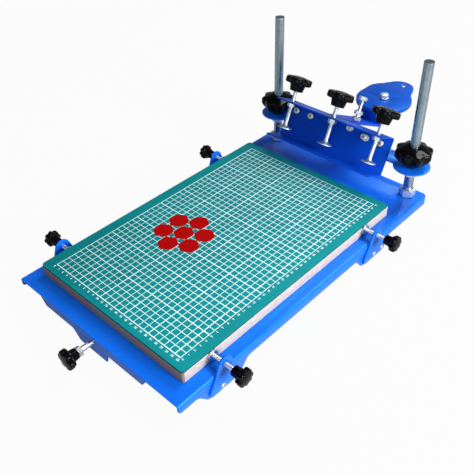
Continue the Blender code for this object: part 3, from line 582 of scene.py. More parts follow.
class Form:
    """A mesh in the making."""

    def __init__(self) -> None:
        """Start an empty mesh."""
        self.mesh = bmesh.new()

    def loft(self, count: int, rules: Sequence[Rule], bored: bool = False) -> "Form":
        """Raise a circle through rings, and close it at its ends or into itself.

        Args:
            count: Vertices in each ring.
            rules: Radius and height by angle, for each ring.
            bored: Whether the last ring meets the first one.

        Returns:
            This form.
        """
        verts = bmesh.ops.create_circle(self.mesh, segments=count, radius=1.0)["verts"]
        ends = [list({edge for vert in verts for edge in vert.link_edges})]
        self._lay(verts, rules[0])
        edges = ends[0]
        for rule in rules[1:]:
            grown = bmesh.ops.extrude_edge_only(self.mesh, edges=edges)["geom"]
            edges = rim_of(grown)
            self._lay(verts_of(grown), rule)
        ends.append(edges)
        if bored:
            bmesh.ops.bridge_loops(self.mesh, edges=ends[0] + ends[1])
        else:
            for end in ends:
                bmesh.ops.contextual_create(self.mesh, geom=end)
        return self

    @staticmethod
    def _lay(verts: Sequence[bmesh.types.BMVert], rule: Rule) -> None:
        """Lay a ring's vertices by a rule."""
        for vert in verts:
            angle = math.atan2(vert.co.y, vert.co.x)
            radius, height = rule(angle)
            vert.co = (radius * math.cos(angle), radius * math.sin(angle), height)

    def turned(self, points: Sequence[Pair], bored: bool = False) -> "Form":
        """Turn a shape from radii and heights, closed at its ends or into itself."""
        return self.loft(32, [flat(*point) for point in points], bored)

    def thread(
        self, radius: float, low: float, high: float, pitch: float = 0.00125,
        depth: float = 0.00055, steps: int = 20, chamfer: float = 0.0008,
    ) -> "Form":
        """Make a threaded rod by winding one groove up it.

        Args:
            radius: Outside radius.
            low: Height of the lower end.
            high: Height of the upper end.
            pitch: Rise in one turn.
            depth: Depth of the groove.
            steps: Facets in one turn.
            chamfer: Length of the bevelled tips.

        Returns:
            This form.
        """
        rod = bmesh.new()
        first = low + chamfer - 1.01 * pitch
        turns = math.ceil((high - low) / pitch) + 2
        points = [(radius - depth, 0.0), (radius, 0.4), (radius, 0.6), (radius - depth, 1.0)]
        verts = [rod.verts.new((reach, 0, first + part * pitch)) for reach, part in points]
        edges = [rod.edges.new(pair) for pair in zip(verts, verts[1:])]
        bmesh.ops.spin(
            rod, geom=verts + edges, axis=(0, 0, 1), cent=(0, 0, 0), dvec=(0, 0, pitch / steps),
            angle=2 * math.pi, steps=steps)
        wound = 1
        while wound < turns:
            every = rod.verts[:] + rod.edges[:] + rod.faces[:]
            copied = bmesh.ops.duplicate(rod, geom=every)["geom"]
            bmesh.ops.translate(rod, vec=(0, 0, wound * pitch), verts=verts_of(copied))
            wound *= 2
        bmesh.ops.remove_doubles(rod, verts=rod.verts, dist=pitch * 0.02)
        for height, side in ((low + chamfer, -1), (high - chamfer, 1)):
            bmesh.ops.bisect_plane(
                rod, geom=rod.verts[:] + rod.edges[:] + rod.faces[:], dist=1e-7,
                plane_co=(0, 0, height), plane_no=(0, 0, side), clear_outer=True)
            rim = [e for e in rod.edges if e.is_boundary and abs(e.verts[0].co.z - height) < 1e-6]
            grown = bmesh.ops.extrude_edge_only(rod, edges=rim)["geom"]
            for vert in verts_of(grown):
                flatly = Vector((vert.co.x, vert.co.y, 0)).normalized() * (radius - depth * 1.3)
                vert.co = (flatly.x, flatly.y, height + side * chamfer)
            bmesh.ops.contextual_create(rod, geom=rim_of(grown))
        return self.take(rod)

    def hex_nut(self, flats: float, low: float, high: float, bore: float = 0.0) -> "Form":
        """Make a hexagon with the curved chamfers that turning leaves on it.

        Args:
            flats: Width across the flats.
            low: Height of the lower face.
            high: Height of the upper face.
            bore: Radius of the hole, or 0 for a bolt's head.

        Returns:
            This form.
        """
        inner = flats / 2 * 0.96

        def reach(angle: float) -> float:
            """Return the hexagon's radius at an angle."""
            return flats / 2 / math.cos((angle + math.pi / 6) % (math.pi / 3) - math.pi / 6)

        def cut(angle: float) -> float:
            """Return how far the chamfer comes down at an angle."""
            return (reach(angle) - inner) * math.tan(math.radians(30))

        rules = [
            flat(inner, low), lambda a: (reach(a), low + cut(a)),
            lambda a: (reach(a), high - cut(a)), flat(inner, high)]
        if bore:
            lip = min(0.0008, (high - low) * 0.1)
            rules = [flat(bore, low + lip), flat(bore + lip, low), *rules]
            rules += [flat(bore + lip, high), flat(bore, high - lip)]
        return self.loft(60, rules, bored=bool(bore))

    def star(self, knob: "Knob") -> "Form":
        """Make a star knob on its hub, with the hub's end at height 0.

        Args:
            knob: The knob's sizes.

        Returns:
            This form.
        """
        base = knob.hub_length
        thick = knob.thickness

        def lobed(scale: float, height: float, share: float) -> Rule:
            """Return the rule of one lobed ring."""
            def rule(angle: float) -> Pair:
                """Return radius and height at an angle."""
                wave = (0.5 - 0.5 * math.cos(knob.lobes * angle)) ** knob.narrow
                return knob.radius * scale * (1 - knob.flute * share * wave), height
            return rule

        low, high = knob.hub_low, knob.hub_high
        soft = 0.0006
        rules = [flat(low - soft, 0.0), flat(low, soft), flat(high, base - 2 * soft)]
        rules += [lobed(s, base + h * thick, k) for s, h, k in knob.edge]
        if knob.bore:
            top = base + thick + knob.crown
            dome = [(0.70, 0.35), (0.56, 0.72), (0.46, 0.93), (0.38, 1.0)]
            rules += [flat(knob.radius * s, base + thick + h * knob.crown) for s, h in dome]
            rules += [flat(knob.bore + soft, top), flat(knob.bore, top - soft)]
            rules += [flat(knob.bore, soft), flat(knob.bore + soft, 0.0)]
        else:
            dome = [(0.56, 0.45), (0.34, 0.82), (0.14, 1.0)]
            rules += [flat(knob.radius * s, base + thick + h * knob.crown) for s, h in dome]
        return self.loft(knob.lobes * 14, rules, bored=bool(knob.bore))

    def pan_head(self, radius: float, height: float) -> "Form":
        """Make a pan head with a crossed recess, standing on height 0.

        Args:
            radius: The head's radius.
            height: The head's height.

        Returns:
            This form.
        """
        dome = [(0.97, 0.0), (1.0, 0.25), (0.95, 0.6), (0.84, 0.88), (0.70, 1.0)]
        rules = [flat(radius * s, height * h) for s, h in dome]
        recess = [(0.64, 0.99), (0.5504, 0.30), (0.192, 0.12)]
        rules += [crossed(radius * s, height * h, 9, 0.26) for s, h in recess]
        return self.loft(56, rules)

    def cross(self, radius: float, height: float) -> "Form":
        """Make the dark fill of painted shade that lies in the recess of a pan head of this radius
        and height.
        """
        rings = [(0.6528, 0.30), (0.68, 0.86), (0.612, 0.90), (0.204, 0.86)]
        return self.loft(56, [crossed(radius * s, height * h, 5, 0.24) for s, h in rings])

    def take(self, other: bmesh.types.BMesh, place: Matrix = LEVEL) -> "Form":
        """Add another mesh to this one.

        Args:
            other: The mesh, which is used up.
            place: Where it goes.

        Returns:
            This form.
        """
        bmesh.ops.transform(other, matrix=place, verts=other.verts)
        store = bpy.data.meshes.new("store")
        other.to_mesh(store)
        other.free()
        self.mesh.from_mesh(store)
        bpy.data.meshes.remove(store)
        return self

    def finish(
        self, name: str, finish: Finish, body: str, nodes: Sequence[str] = (),
        place: Matrix = LEVEL, sharp: float = 32.0,
    ) -> bpy.types.Object:
        """Make the form a piece of the model.

        Args:
            name: The piece's name.
            finish: What it is made of.
            body: The body that it rides on.
            nodes: The CAD nodes that it stands for.
            place: Where it goes.
            sharp: The angle in degrees from which an edge stays crisp.

        Returns:
            The piece.
        """
        mesh = self.mesh
        bmesh.ops.transform(mesh, matrix=place, verts=mesh.verts)
        bmesh.ops.recalc_face_normals(mesh, faces=mesh.faces)
        for face in mesh.faces:
            face.smooth = True
        for edge in mesh.edges:
            bent = len(edge.link_faces) == 2 and edge.calc_face_angle() > math.radians(sharp)
            edge.smooth = not bent
        data = bpy.data.meshes.new(name)
        mesh.to_mesh(data)
        mesh.free()
        data.materials.append(finish.material())
        piece = linked(name, data)
        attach(piece, body)
        if nodes:
            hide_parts(*nodes)
        LOG.info("%s: %d faces on %s", name, len(data.polygons), body)
        return piece


DISC_EDGE = (
    (0.72, 0.00, 0.5), (0.90, 0.02, 0.9), (0.975, 0.10, 1.0), (1.0, 0.24, 1.0),
    (1.0, 0.72, 1.0), (0.98, 0.86, 1.0), (0.93, 0.95, 0.95), (0.84, 1.0, 0.80))
BELL_EDGE = (
    (0.66, 0.00, 0.45), (0.76, 0.10, 0.7), (0.86, 0.24, 0.9), (0.94, 0.38, 1.0),
    (0.99, 0.52, 1.0), (1.0, 0.64, 1.0), (1.0, 0.86, 1.0), (0.975, 0.94, 1.0),
    (0.92, 0.985, 0.9), (0.84, 1.0, 0.75))


@dataclass(frozen=True)
class Knob:
    """Sizes of a star knob: its star, its hub and the flutes between its lobes."""

    radius: float
    thickness: float
    hub_low: float
    hub_high: float
    hub_length: float
    lobes: int
    flute: float = 0.30
    narrow: float = 2.6
    bore: float = 0.0
    crown: float = 0.0015
    edge: tuple[Triple, ...] = DISC_EDGE


@dataclass
class Plates:
    """The folded and cut plates, copied from the solids and given softened edges."""

    soft: float = 0.0006
    round: float = 0.0009
    crisp: float = 0.0003
    stout: float = 0.0010
    bend: float = 28.0
    crease: float = 38.0
    facets: int = 2
    weld: float = 2e-6
    straight: float = 0.4
    weight_middle: Pair = (-0.0055, 0.32425)
    weight_inside: float = 0.045
    flank_from: float = 98.5
    flank_to: float = 178.0
    bulge_turn: float = math.radians(126)
    bulge_reach: float = 0.033
    bulge_radius: float = 0.030
    bulge_limit: float = 0.0815
    bulge_join: int = 14

    def softened(
        self, node: str, finish: Finish, body: str, width: float,
        trim: Callable[[bmesh.types.BMesh], None] | None = None,
    ) -> bpy.types.Object:
        """Copy a solid and round its edges.

        Args:
            node: The CAD node.
            finish: What it is made of.
            body: The body that it rides on.
            width: Width of the rounded edge.
            trim: A change to the copy's outline before its edges are rounded.

        Returns:
            The piece.
        """
        form = Form()
        mesh = form.mesh
        mesh.from_mesh(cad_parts[node].data)
        bmesh.ops.remove_doubles(mesh, verts=mesh.verts, dist=self.weld)
        bmesh.ops.dissolve_limit(
            mesh, angle_limit=math.radians(self.straight), verts=mesh.verts, edges=mesh.edges)
        if trim:
            trim(mesh)
        edges = [
            edge for edge in mesh.edges
            if len(edge.link_faces) == 2 and edge.is_convex
            and edge.calc_face_angle() > math.radians(self.bend)]
        bmesh.ops.bevel(
            mesh, geom=edges, offset=width, offset_type="OFFSET", segments=self.facets,
            profile=0.5, affect="EDGES", material=-1, clamp_overlap=False)
        return form.finish(f"{node}_plate", finish, body, [node], sharp=self.crease)

    def fuller_flank(self, mesh: bmesh.types.BMesh) -> None:
        """Swell the weight's left flank, between its disc and its small lobe.

        Args:
            mesh: The copy of the weight.
        """
        middle = Vector(self.weight_middle)
        bulge = middle + Vector(
            (math.cos(self.bulge_turn), math.sin(self.bulge_turn))) * self.bulge_reach
        for vert in mesh.verts:
            spot = vert.co.xy - middle
            turn = math.degrees(math.atan2(spot.y, spot.x))
            if spot.length < self.weight_inside or not self.flank_from <= turn < self.flank_to:
                continue
            way = spot.normalized()
            along = (bulge - middle).dot(way)
            aside = (bulge - middle).length_squared - along ** 2
            if aside < self.bulge_radius ** 2:
                swell = along + math.sqrt(self.bulge_radius ** 2 - aside)
                join = self.bulge_join
                reach = (spot.length ** join + swell ** join) ** (1 / join)
                vert.co.xy = middle + way * min(reach, self.bulge_limit)

    def build(self) -> None:
        """Build the deck, brackets, board, beam, clamp, arm, weight and hinge leaves."""
        for node, finish, body, width in (
            ("base_deck", DECK_BLUE, "base", self.soft),
            ("platen_board", BOARD_EDGE, "base", self.round),
            ("beam", BEAM_BLUE, "beam_carriage", self.round),
            ("clamp_channel", CLAMP_BLUE, "screen_clamp", self.round),
            ("counterweight_arm", CLAMP_BLUE, "screen_clamp", self.stout),
        ):
            self.softened(node, finish, body, width)
        self.softened(
            "counterweight", WEIGHT_BLUE, "screen_clamp", self.stout, trim=self.fuller_flank)
        for side in (side.word for side in Side):
            for row in Row:
                self.softened(f"side_bracket_{row.word}_{side}", DECK_BLUE, "base", self.soft)
            for half, body in (("beam", "beam_carriage"), ("clamp", "screen_clamp")):
                self.softened(f"hinge_leaf_{half}_{side}", BRIGHT_ZINC, body, self.crisp)


@dataclass
class CuttingMat:
    """The mat with its printed grid, its numbers and the printed hexagons."""

    edge: float = 0.0005
    digit: float = 0.0045
    swelling: float = 0.00008
    gap: float = 0.0046
    film: float = 0.00012
    patch: float = 0.0170
    patch_round: float = 0.00374
    patch_spacing: float = 0.0325
    patch_x: float = -0.0485
    patch_y: float = -0.1480

    def lay_mat(self) -> None:
        """Lay the mat, copied from its solid."""
        Plates().softened("cutting_mat", MAT_GREEN, "base", self.edge)

    def number(self, value: int) -> bmesh.types.BMesh:
        """Return one number as a thin closed mesh about the origin.

        Args:
            value: The number.

        Returns:
            The mesh.
        """
        words = bpy.data.curves.new("number", "FONT")
        words.body = str(value)
        words.size = self.digit
        words.align_x = "CENTER"
        words.align_y = "CENTER"
        words.resolution_u = 2
        words.extrude = self.film / 2
        words.offset = self.swelling
        holder = linked("number", words)
        graph = bpy.context.evaluated_depsgraph_get()
        data = bpy.data.meshes.new_from_object(holder.evaluated_get(graph))
        made = bmesh.new()
        made.from_mesh(data)
        bmesh.ops.remove_doubles(made, verts=made.verts, dist=1e-7)
        bpy.data.objects.remove(holder)
        bpy.data.curves.remove(words)
        bpy.data.meshes.remove(data)
        return made

    def print_numbers(self) -> None:
        """Print the scale's numbers along the front and the right side."""
        form = Form()
        height = MAT_TOP + self.film / 2
        for value in range(COLUMNS + 1):
            spot = (GRID_LEFT + value * SQUARE, GRID_FRONT - self.gap, height)
            form.take(self.number(value), Matrix.Translation(spot))
        turn = Matrix.Rotation(math.pi / 2, 4, "Z")
        right = GRID_LEFT + COLUMNS * SQUARE + self.gap
        for value in range(ROWS + 1):
            spot = (right, GRID_FRONT + value * SQUARE, height)
            form.take(self.number(value), Matrix.Translation(spot) @ turn)
        form.finish("mat_numbers", WHITE_INK, "base")

    def print_patches(self) -> None:
        """Print seven rounded hexagons, one in the middle of six."""
        form = Form()
        step = self.patch_spacing
        turns = [math.radians(60 * k + 30) for k in range(6)]
        spots = [(0.0, 0.0)] + [(step * math.cos(t), step * math.sin(t)) for t in turns]
        for x, y in spots:
            cell = bmesh.new()
            made = bmesh.ops.create_circle(cell, cap_ends=True, segments=6, radius=self.patch)
            bmesh.ops.bevel(
                cell, geom=made["verts"], offset=self.patch_round, offset_type="OFFSET",
                segments=5, profile=0.5, affect="VERTICES", material=-1)
            raised = bmesh.ops.extrude_face_region(cell, geom=cell.faces[:])["geom"]
            bmesh.ops.translate(cell, vec=(0, 0, self.film), verts=verts_of(raised))
            form.take(cell, Matrix.Translation((self.patch_x + x, self.patch_y + y, MAT_TOP)))
        form.finish("printed_hexagons", RED_INK, "base")

    def build(self) -> None:
        """Lay the mat and print on it."""
        self.lay_mat()
        self.print_numbers()
        self.print_patches()


@dataclass
class SideScrews:
    """The four side screws, their knobs and the bolts of their brackets."""

    height: float = 0.0461
    rod: float = 0.0031
    foot: float = 0.008
    foot_thickness: float = 0.003
    bracket: float = 0.1723
    bolts_front: Pair = (-0.006, 0.015)
    bolts_rear: Pair = (-0.002, 0.019)
    bolt: float = 0.0040
    bolt_thickness: float = 0.0022
    bolt_height: float = 0.0105
    ring: Pair = (0.0035, 0.0050)
    ring_deep: float = -0.0036
    ring_proud: float = 0.0006
    knob: Knob = Knob(0.0128, 0.0098, 0.0074, 0.0082, 0.0117, 8, 0.17, 1.1, crown=0.0010)

    def build_screw(self, side: Side, row: Row) -> None:
        """Build one screw with its foot and its knob.

        Args:
            side: The machine's side.
            row: The front or rear row.
        """
        label = f"{row.word}_{side.word}"
        low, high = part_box(f"side_screw_{label}")
        inner = low.x if side is Side.RIGHT else high.x
        length = high.x - low.x
        disc = self.foot_thickness
        body = f"side_screw_set_{label}"
        form = Form().thread(self.rod, disc * 0.8, length, pitch=0.001, depth=0.00016)
        form.turned([
            (self.foot - 0.0004, 0), (self.foot, 0.0003), (self.foot, disc * 0.36),
            (self.foot - 0.0008, disc * 0.46), (self.foot - 0.0008, disc * 0.54),
            (self.foot, disc * 0.64), (self.foot, disc - 0.0003), (self.foot - 0.0004, disc),
            (self.rod, disc)])
        form.finish(
            f"side_screw_thread_{label}", BRIGHT_ZINC, body, [f"side_screw_{label}"],
            side.out.at(inner, row.value, self.height))
        start = inner + side.value * (length + 0.0003)
        Form().star(self.knob).finish(
            f"side_knob_star_{label}", KNOB_BLACK, body, [f"side_knob_{label}"],
            side.out.at(start, row.value, self.height))

    def build_bolts(self, side: Side, row: Row) -> None:
        """Build the two bolt heads and the ring round the screw on one bracket.

        Args:
            side: The machine's side.
            row: The front or rear row.
        """
        face = side.value * self.bracket + SHIFT
        form = Form()
        for offset in self.bolts_front if row is Row.FRONT else self.bolts_rear:
            head = Form().pan_head(self.bolt, self.bolt_thickness)
            form.take(head.mesh, side.out.at(face, row.value + offset, self.bolt_height))
        form.finish(f"bracket_bolts_{row.word}_{side.word}", BRIGHT_ZINC, "base")
        inner, outer = self.ring
        deep, proud = self.ring_deep, self.ring_proud
        ring = [(inner, deep), (outer, deep), (outer, proud), (inner, proud)]
        Form().turned(ring, bored=True).finish(
            f"bracket_ring_{row.word}_{side.word}", DECK_BLUE, "base", (),
            side.out.at(face, row.value, self.height))

    def build(self) -> None:
        """Build the screws and bolts on both sides."""
        for side in Side:
            for row in Row:
                self.build_screw(side, row)
                self.build_bolts(side, row)


@dataclass
class FrontScrew:
    """The screw in the deck's front tongue, with its locknut and its knob."""

    height: float = 0.022
    rod: float = 0.004
    relief: float = 0.0002
    flats: float = 0.013
    knob: Knob = Knob(0.0152, 0.0100, 0.0080, 0.0088, 0.0098, 6, 0.30, crown=0.0012)

    def build(self) -> None:
        """Build the screw, the locknut and the knob."""
        low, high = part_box("front_screw")
        body = "front_screw_set"
        Form().thread(self.rod, 0, high.y - low.y, depth=self.relief).finish(
            "front_screw_thread", BRIGHT_ZINC, body, ["front_screw"],
            Axis.FRONT.at(SHIFT, high.y, self.height))
        low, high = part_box("front_locknut")
        Form().hex_nut(self.flats, 0, high.y - low.y, self.rod + self.relief).finish(
            "front_locknut_hex", BRIGHT_ZINC, body, ["front_locknut"],
            Axis.FRONT.at(SHIFT, high.y, self.height))
        low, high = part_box("front_knob")
        Form().star(self.knob).finish(
            "front_knob_star", KNOB_BLACK, body, ["front_knob"],
            Axis.FRONT.at(SHIFT, high.y, self.height))


@dataclass
class Posts:
    """The two threaded posts with their nuts and the knobs that hold the beam down."""

    spread: float = 0.141
    y: float = 0.18825
    radius: float = 0.008
    low: float = 0.0182
    top: float = 0.268
    flats: float = 0.024
    nut: float = 0.013
    knob: Knob = Knob(
        0.0308, 0.0225, 0.0125, 0.018, 0.0070, 8, 0.13, 1.0, 0.0084, 0.0040, BELL_EDGE)

    def build_post(self, side: Side) -> None:
        """Build one post, its three nuts and its knob.

        Args:
            side: The machine's side.
        """
        x = side.value * self.spread + SHIFT
        place = Axis.UP.at(x, self.y, 0)
        foot = Form().thread(
            self.radius, self.low, self.top, pitch=0.002, depth=0.00018, steps=32, chamfer=0.0012)
        foot.hex_nut(self.flats, self.low, self.low + self.nut, self.radius - 0.0004)
        foot.finish(
            f"post_thread_{side.word}", POST_STEEL, "base", [f"post_{side.word}"], place)
        for node, body in (("post_nut", "base"), ("beam_nut", "beam_carriage")):
            low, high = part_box(f"{node}_{side.word}")
            Form().hex_nut(self.flats, low.z, high.z, self.radius + 0.0003).finish(
                f"{node}_hex_{side.word}", FLAT_NICKEL, body, [f"{node}_{side.word}"], place)
        low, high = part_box(f"post_knob_{side.word}")
        Form().star(self.knob).finish(
            f"post_knob_star_{side.word}", KNOB_BLACK, "beam_carriage", [f"post_knob_{side.word}"],
            Axis.UP.at(x, self.y, low.z))

    def build(self) -> None:
        """Build both posts."""
        for side in Side:
            self.build_post(side)


@dataclass
class ScreenClamp:
    """The clamp's screws, feet, knobs and nuts, and the fasteners on its wall."""

    tilt: float = 25.8
    hinge_y: float = 0.17825
    hinge_z: float = 0.0971
    spread: float = 0.0877
    screw_y: float = -0.0319
    rod: float = 0.0033
    foot_low: float = -0.0170
    foot: float = 0.0125
    rim: float = 0.0015
    cone: float = 0.006
    screw_top: float = 0.0490
    top: float = 0.0318
    sheet: float = 0.0025
    wall: float = -0.01275
    nut: float = 0.0075
    nut_thickness: float = 0.008
    heads: tuple[tuple[float, int], ...] = (
        (-0.0858, 12), (-0.0552, -8), (0.0552, 20), (0.0868, -14))
    head: float = 0.0062
    head_thickness: float = 0.0030
    head_z: float = 0.0164
    rim_width: float = 0.0010
    bushing: Pair = (0.0593, 0.0158)
    arm_nuts: tuple[Pair, ...] = ((-0.0100, 0.0200), (0.0263, 0.0222))
    arm_flats: float = 0.010
    arm_rod: float = 0.0030
    arm_washer: float = 0.0060
    knob: Knob = Knob(0.0243, 0.0115, 0.0115, 0.0135, 0.0120, 6, crown=0.0022)

    def at(self, x: float, y: float, z: float, axis: Axis = Axis.UP) -> Matrix:
        """Return a place in the clamp's level frame, leant back with the clamp."""
        pivot = Matrix.Translation((SHIFT, self.hinge_y, self.hinge_z))
        return pivot @ Matrix.Rotation(-math.radians(self.tilt), 4, "X") @ axis.at(x, y, z)

    def build_screw(self, label: str, x: float) -> None:
        """Build one clamp screw with its foot, its knob and its weld nut.

        Args:
            label: The screw's word in node names.
            x: Its place to the right of the middle.
        """
        body = f"clamp_screw_set_{label}"
        place = self.at(x, self.screw_y, 0)
        low = self.foot_low
        neck = low + self.rim + self.cone
        form = Form().thread(
            self.rod, neck - 0.002, self.screw_top, pitch=0.001, depth=0.00014, steps=24)
        brim = low + self.rim
        flare = [(0.92, 0.05), (0.90, 0.02), (0.66, 0.20), (0.46, 0.42), (0.34, 0.74), (0.31, 1.0)]
        form.turned([
            (self.foot - 0.0004, low), (self.foot, low + 0.0004), (self.foot, brim),
            *((self.foot * s, brim + self.cone * h) for s, h in flare), (self.rod * 0.9, neck)])
        form.finish(
            f"clamp_screw_thread_{label}", FLAT_NICKEL, body, [f"clamp_screw_{label}"], place)
        Form().star(self.knob).finish(
            f"clamp_knob_star_{label}", KNOB_BLACK, body, [f"clamp_knob_{label}"],
            self.at(x, self.screw_y, self.screw_top + 0.0003))
        high = self.top - self.sheet - 0.0003
        bore = self.rod + 0.0003
        Form().hex_nut(2 * self.nut * 0.866, high - self.nut_thickness, high, bore).finish(
            f"weld_nut_hex_{label}", NUT_ZINC, "screen_clamp", [f"weld_nut_{label}"], place)

    def build_fasteners(self) -> None:
        """Build the hinges' screw heads and the arm's nuts on the clamp's wall."""
        heads, painted_shade = Form(), Form()
        inner = self.head - 0.0001
        outer = inner + self.rim_width
        # Painted shade: a dark ring round each screw head.
        rim = [(inner, 0), (outer, 0), (outer, 0.0006), (inner, 0.0006)]
        for x, turn in self.heads:
            spin = Matrix.Rotation(math.radians(turn), 4, "Z")
            spot = self.at(x, self.wall, self.head_z, Axis.FRONT) @ spin
            heads.take(Form().pan_head(self.head, self.head_thickness).mesh, spot)
            # Painted shade: a dark cross in each recess and the dark ring round the head.
            painted_shade.take(Form().cross(self.head, self.head_thickness).mesh, spot)
            painted_shade.take(Form().turned(rim, bored=True).mesh, spot)
        disc = [(0.0057, 0), (inner, 0), (inner, 0.0016), (0.0056, 0.0020)]
        x, z = self.bushing
        heads.take(Form().turned(disc).mesh, self.at(x, self.wall, z, Axis.FRONT))
        heads.finish("hinge_screw_heads", FLAT_NICKEL, "screen_clamp")
        painted_shade.finish("hinge_screw_recess_shade", RECESS_SHADE, "screen_clamp")
        nuts = Form()
        rod = self.arm_rod
        hole, edge = rod + 0.0002, self.arm_washer
        washer = [(hole, 0), (edge, 0), (edge, 0.0010), (hole, 0.0010)]
        for x, z in self.arm_nuts:
            place = self.at(x, self.wall, z, Axis.FRONT)
            nuts.take(Form().hex_nut(self.arm_flats, 0.0010, 0.0055, rod - 0.0001).mesh, place)
            nuts.take(Form().turned(washer, bored=True).mesh, place)
            nuts.take(Form().thread(rod, 0, 0.0072, pitch=0.001, depth=0.0003).mesh, place)
        nuts.finish("arm_nuts", BRIGHT_ZINC, "screen_clamp")

    def build(self) -> None:
        """Build the three screws and the fasteners."""
        for label, x in (("left", -self.spread), ("middle", 0.0), ("right", self.spread)):
            self.build_screw(label, x)
        self.build_fasteners()


@dataclass
class Counterweight:
    """The stop bolt on the arm and the counterweight's bolt."""

    stop_x: float = 0.011
    stop_y: float = 0.0251
    stop_low: float = 0.0078
    stop_top: float = 0.0738
    stop_head: float = 0.0060
    stop_flats: float = 0.013
    nut: float = 0.0065
    nut_low: float = 0.0321
    nut_high: float = 0.0428
    rod: float = 0.0032
    bolt_x: float = -0.0055
    bolt_y: float = 0.32425
    plate_top: float = 0.1108
    eyelet_y: float = 0.38975
    flats: float = 0.0140
    head: float = 0.0078
    washer: float = 0.0085
    washer_thickness: float = 0.0015
    shank: float = 0.005
    shank_depth: float = 0.0080
    eyelet: tuple[Pair, ...] = (
        (0.0026, -0.0020), (0.0026, 0.0003), (0.0031, 0.0007), (0.0042, 0.0005), (0.0044, 0.0))

    def build_stop(self, clamp: ScreenClamp) -> None:
        """Build the stop bolt with its head and its two nuts.

        Args:
            clamp: The clamp, for its frame.
        """
        place = clamp.at(self.stop_x, self.stop_y, 0)
        form = Form().thread(
            self.rod, self.stop_low, self.stop_top - self.stop_head + 0.001, pitch=0.001,
            depth=0.00018)
        form.hex_nut(self.stop_flats, self.stop_top - self.stop_head, self.stop_top)
        for low in (self.nut_low, self.nut_high):
            form.hex_nut(self.stop_flats, low, low + self.nut, self.rod - 0.0002)
        form.finish("stop_bolt_thread", BRIGHT_ZINC, "screen_clamp", ["stop_bolt"], place)

    def build_weight_bolt(self) -> None:
        """Build the bolt in the middle of the counterweight and the eyelet in its lobe."""
        base = self.plate_top + 0.0003
        soft = 0.0003
        upper = base + self.washer_thickness
        form = Form().turned([
            (self.shank, base - self.shank_depth), (self.shank, base), (self.washer - soft, base),
            (self.washer, base + soft), (self.washer, upper - soft), (self.washer - soft, upper),
            (self.shank * 0.8, upper)])
        form.hex_nut(self.flats, base + self.washer_thickness * 0.9, base + self.head)
        form.finish(
            "counterweight_bolt_hex", FLAT_NICKEL, "screen_clamp", ["counterweight_bolt"],
            Axis.UP.at(self.bolt_x, self.bolt_y, 0))
        Form().turned(self.eyelet, bored=True).finish(
            "weight_eyelet", BRIGHT_ZINC, "screen_clamp", (),
            Axis.UP.at(self.bolt_x, self.eyelet_y, self.plate_top))

    def build(self, clamp: ScreenClamp) -> None:
        """Build the stop bolt in the clamp's frame, and the weight's bolt."""
        self.build_stop(clamp)
        self.build_weight_bolt()


@dataclass(frozen=True)
class Softbox:
    """One lamp: its width and height, and how brightly white paper facing it renders."""

    name: str
    place: Triple
    size: Pair
    level: float


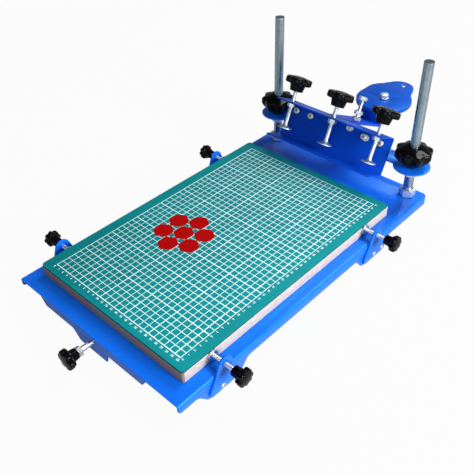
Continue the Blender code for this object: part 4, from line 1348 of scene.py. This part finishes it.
@dataclass
class Studio:
    """The floor, the world, the lamps and the camera."""

    camera_place: Triple = (0.53634727, -0.63422386, 0.6586689)
    camera_turn: Triple = (50.85865, 1.48294, 42.96479)
    lens: float = 48.28483
    floor_size: float = 2.4
    floor_grey: Colour = (0.42, 0.42, 0.42)
    floor_seen: float = 0.95
    floor_dim: float = 0.06
    # Levels and places of the painted pools of light that only reflections see.
    floor_grey_in_gloss: float = 0.18
    near_across: Pair = (-0.5, 0.1)
    near_along: Pair = (0.30, 0.62)
    card_in_gloss: float = 0.80
    card_across: Pair = (0.22, 0.32)
    card_along: Four = (0.03, 0.10, 0.20, 0.30)
    beside_in_gloss: float = 0.7
    beside_across: Four = (0.150, 0.175, 0.225, 0.30)
    beside_along: Pair = (-0.16, 0.06)
    aim: Triple = (0.0, 0.0, 0.05)
    lamps: tuple[Softbox, ...] = (
        Softbox("key_right", (3.4, -0.1, 1.40), (1.4, 2.0), 1.50),
        Softbox("top_box", (0.1, 1.8, 2.6), (1.4, 1.4), 0.72),
        Softbox("front_fill", (0.9, -3.2, 1.8), (2.4, 1.6), 0.20))
    sky: float = 0.12
    sky_dim: float = 0.06
    sky_tint: Colour = (0.93, 0.96, 1.0)
    wall_up: Pair = (0.12, 0.58)
    wall_right: Pair = (-0.6, 0.8)
    wall_left_share: float = 0.3

    def hang(self, box: Softbox) -> None:
        """Hang a softbox, turned to the object and as strong as its level asks.

        Args:
            box: The lamp's sizes.
        """
        lamp = bpy.data.lights.new(box.name, "AREA")
        lamp.shape = "RECTANGLE"
        lamp.size, lamp.size_y = box.size
        away = Vector(box.place) - Vector(self.aim)
        lamp.energy = math.pi ** 2 * away.length_squared * box.level
        holder = linked(box.name, lamp)
        holder.location = box.place
        holder.rotation_euler = away.to_track_quat("Z", "Y").to_euler()
        LOG.info("lamp %s: %.0f W", box.name, lamp.energy)

    def lay_floor(self) -> None:
        """Lay the pale floor, which looks white and still takes the object's shadow. In
        reflections it glows dimly, with painted pools of light to the machine's right front that
        show as painted reflections.
        """
        palette = Palette("pale_floor")
        camera, gloss, glass = palette.rays()
        across, along = palette.along("X"), palette.along("Y")
        # Painted reflections: bright patches of the floor that only glossy rays see.
        near = across.step(*self.near_across) * (1 - along.step(*self.near_along))
        card = across.step(*self.card_across) * along.band(*self.card_along)
        beside = across.band(*self.beside_across) * (1 - along.step(*self.beside_along))
        painted_cards = card.most(beside * self.beside_in_gloss) * self.card_in_gloss
        painted_glow = near * self.floor_grey_in_gloss + painted_cards + self.floor_dim
        seen = (camera * self.floor_seen).most(gloss * painted_glow).most(glass)
        glow = palette.node("ShaderNodeEmission", {}, {0: (1.0, 1.0, 1.0, 1.0), 1: 1.0})
        cloth = palette.node("ShaderNodeBsdfDiffuse", {}, {0: (*self.floor_grey, 1.0)})
        palette.out(palette.node("ShaderNodeMixShader", {}, {0: seen, 1: cloth, 2: glow}))
        mesh = bmesh.new()
        bmesh.ops.create_grid(mesh, x_segments=1, y_segments=1, size=self.floor_size)
        data = bpy.data.meshes.new("floor")
        mesh.to_mesh(data)
        mesh.free()
        data.materials.append(palette.material)
        linked("floor", data)

    def light_world(self) -> None:
        """Light the room: white at its walls, a dark ceiling, and an even light on the object."""
        world = bpy.data.worlds.new("room")
        world.use_nodes = True
        bpy.context.scene.world = world
        palette = Palette("room", world.node_tree)
        camera, gloss, glass = palette.rays()
        way = palette.node("ShaderNodeTexCoord", {}, {}, "Generated")
        right, up = (palette.node("ShaderNodeSeparateXYZ", {}, {0: way}, a) for a in "XZ")
        share = self.wall_left_share
        bright = right.step(*self.wall_right) * (1 - share) + share
        wall = (1 - up.step(*self.wall_up)) * bright
        in_gloss = gloss * (wall * (1 - self.sky_dim) + self.sky_dim)
        plain = (1 - gloss) * self.sky
        level = (in_gloss + plain).most(camera).most(glass)
        tint = palette.blend(camera, self.sky_tint, (1.0, 1.0, 1.0))
        light = palette.node("ShaderNodeBackground", {}, {0: tint, 1: level})
        palette.out(light, "ShaderNodeOutputWorld")

    def stand_camera(self) -> None:
        """Stand the camera where the photograph was taken."""
        lens = bpy.data.cameras.new("camera")
        lens.lens = self.lens
        lens.sensor_width = 36.0
        lens.clip_start = 0.01
        holder = linked("camera", lens)
        holder.location = self.camera_place
        holder.rotation_euler = [math.radians(turn) for turn in self.camera_turn]
        bpy.context.scene.camera = holder

    def build(self) -> None:
        """Set the studio up."""
        bpy.context.scene.view_settings.view_transform = "Standard"
        self.stand_camera()
        self.lay_floor()
        self.light_world()
        for box in self.lamps:
            self.hang(box)


def main() -> None:
    """Build the studio and dress the machine."""
    logging.basicConfig(
        level=logging.INFO, format="%(relativeCreated)6.0f ms %(message)s", stream=sys.stdout)
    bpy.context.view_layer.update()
    Studio().build()
    Plates().build()
    CuttingMat().build()
    SideScrews().build()
    FrontScrew().build()
    Posts().build()
    clamp = ScreenClamp()
    clamp.build()
    Counterweight().build(clamp)


if __name__ == "__main__":
    main()
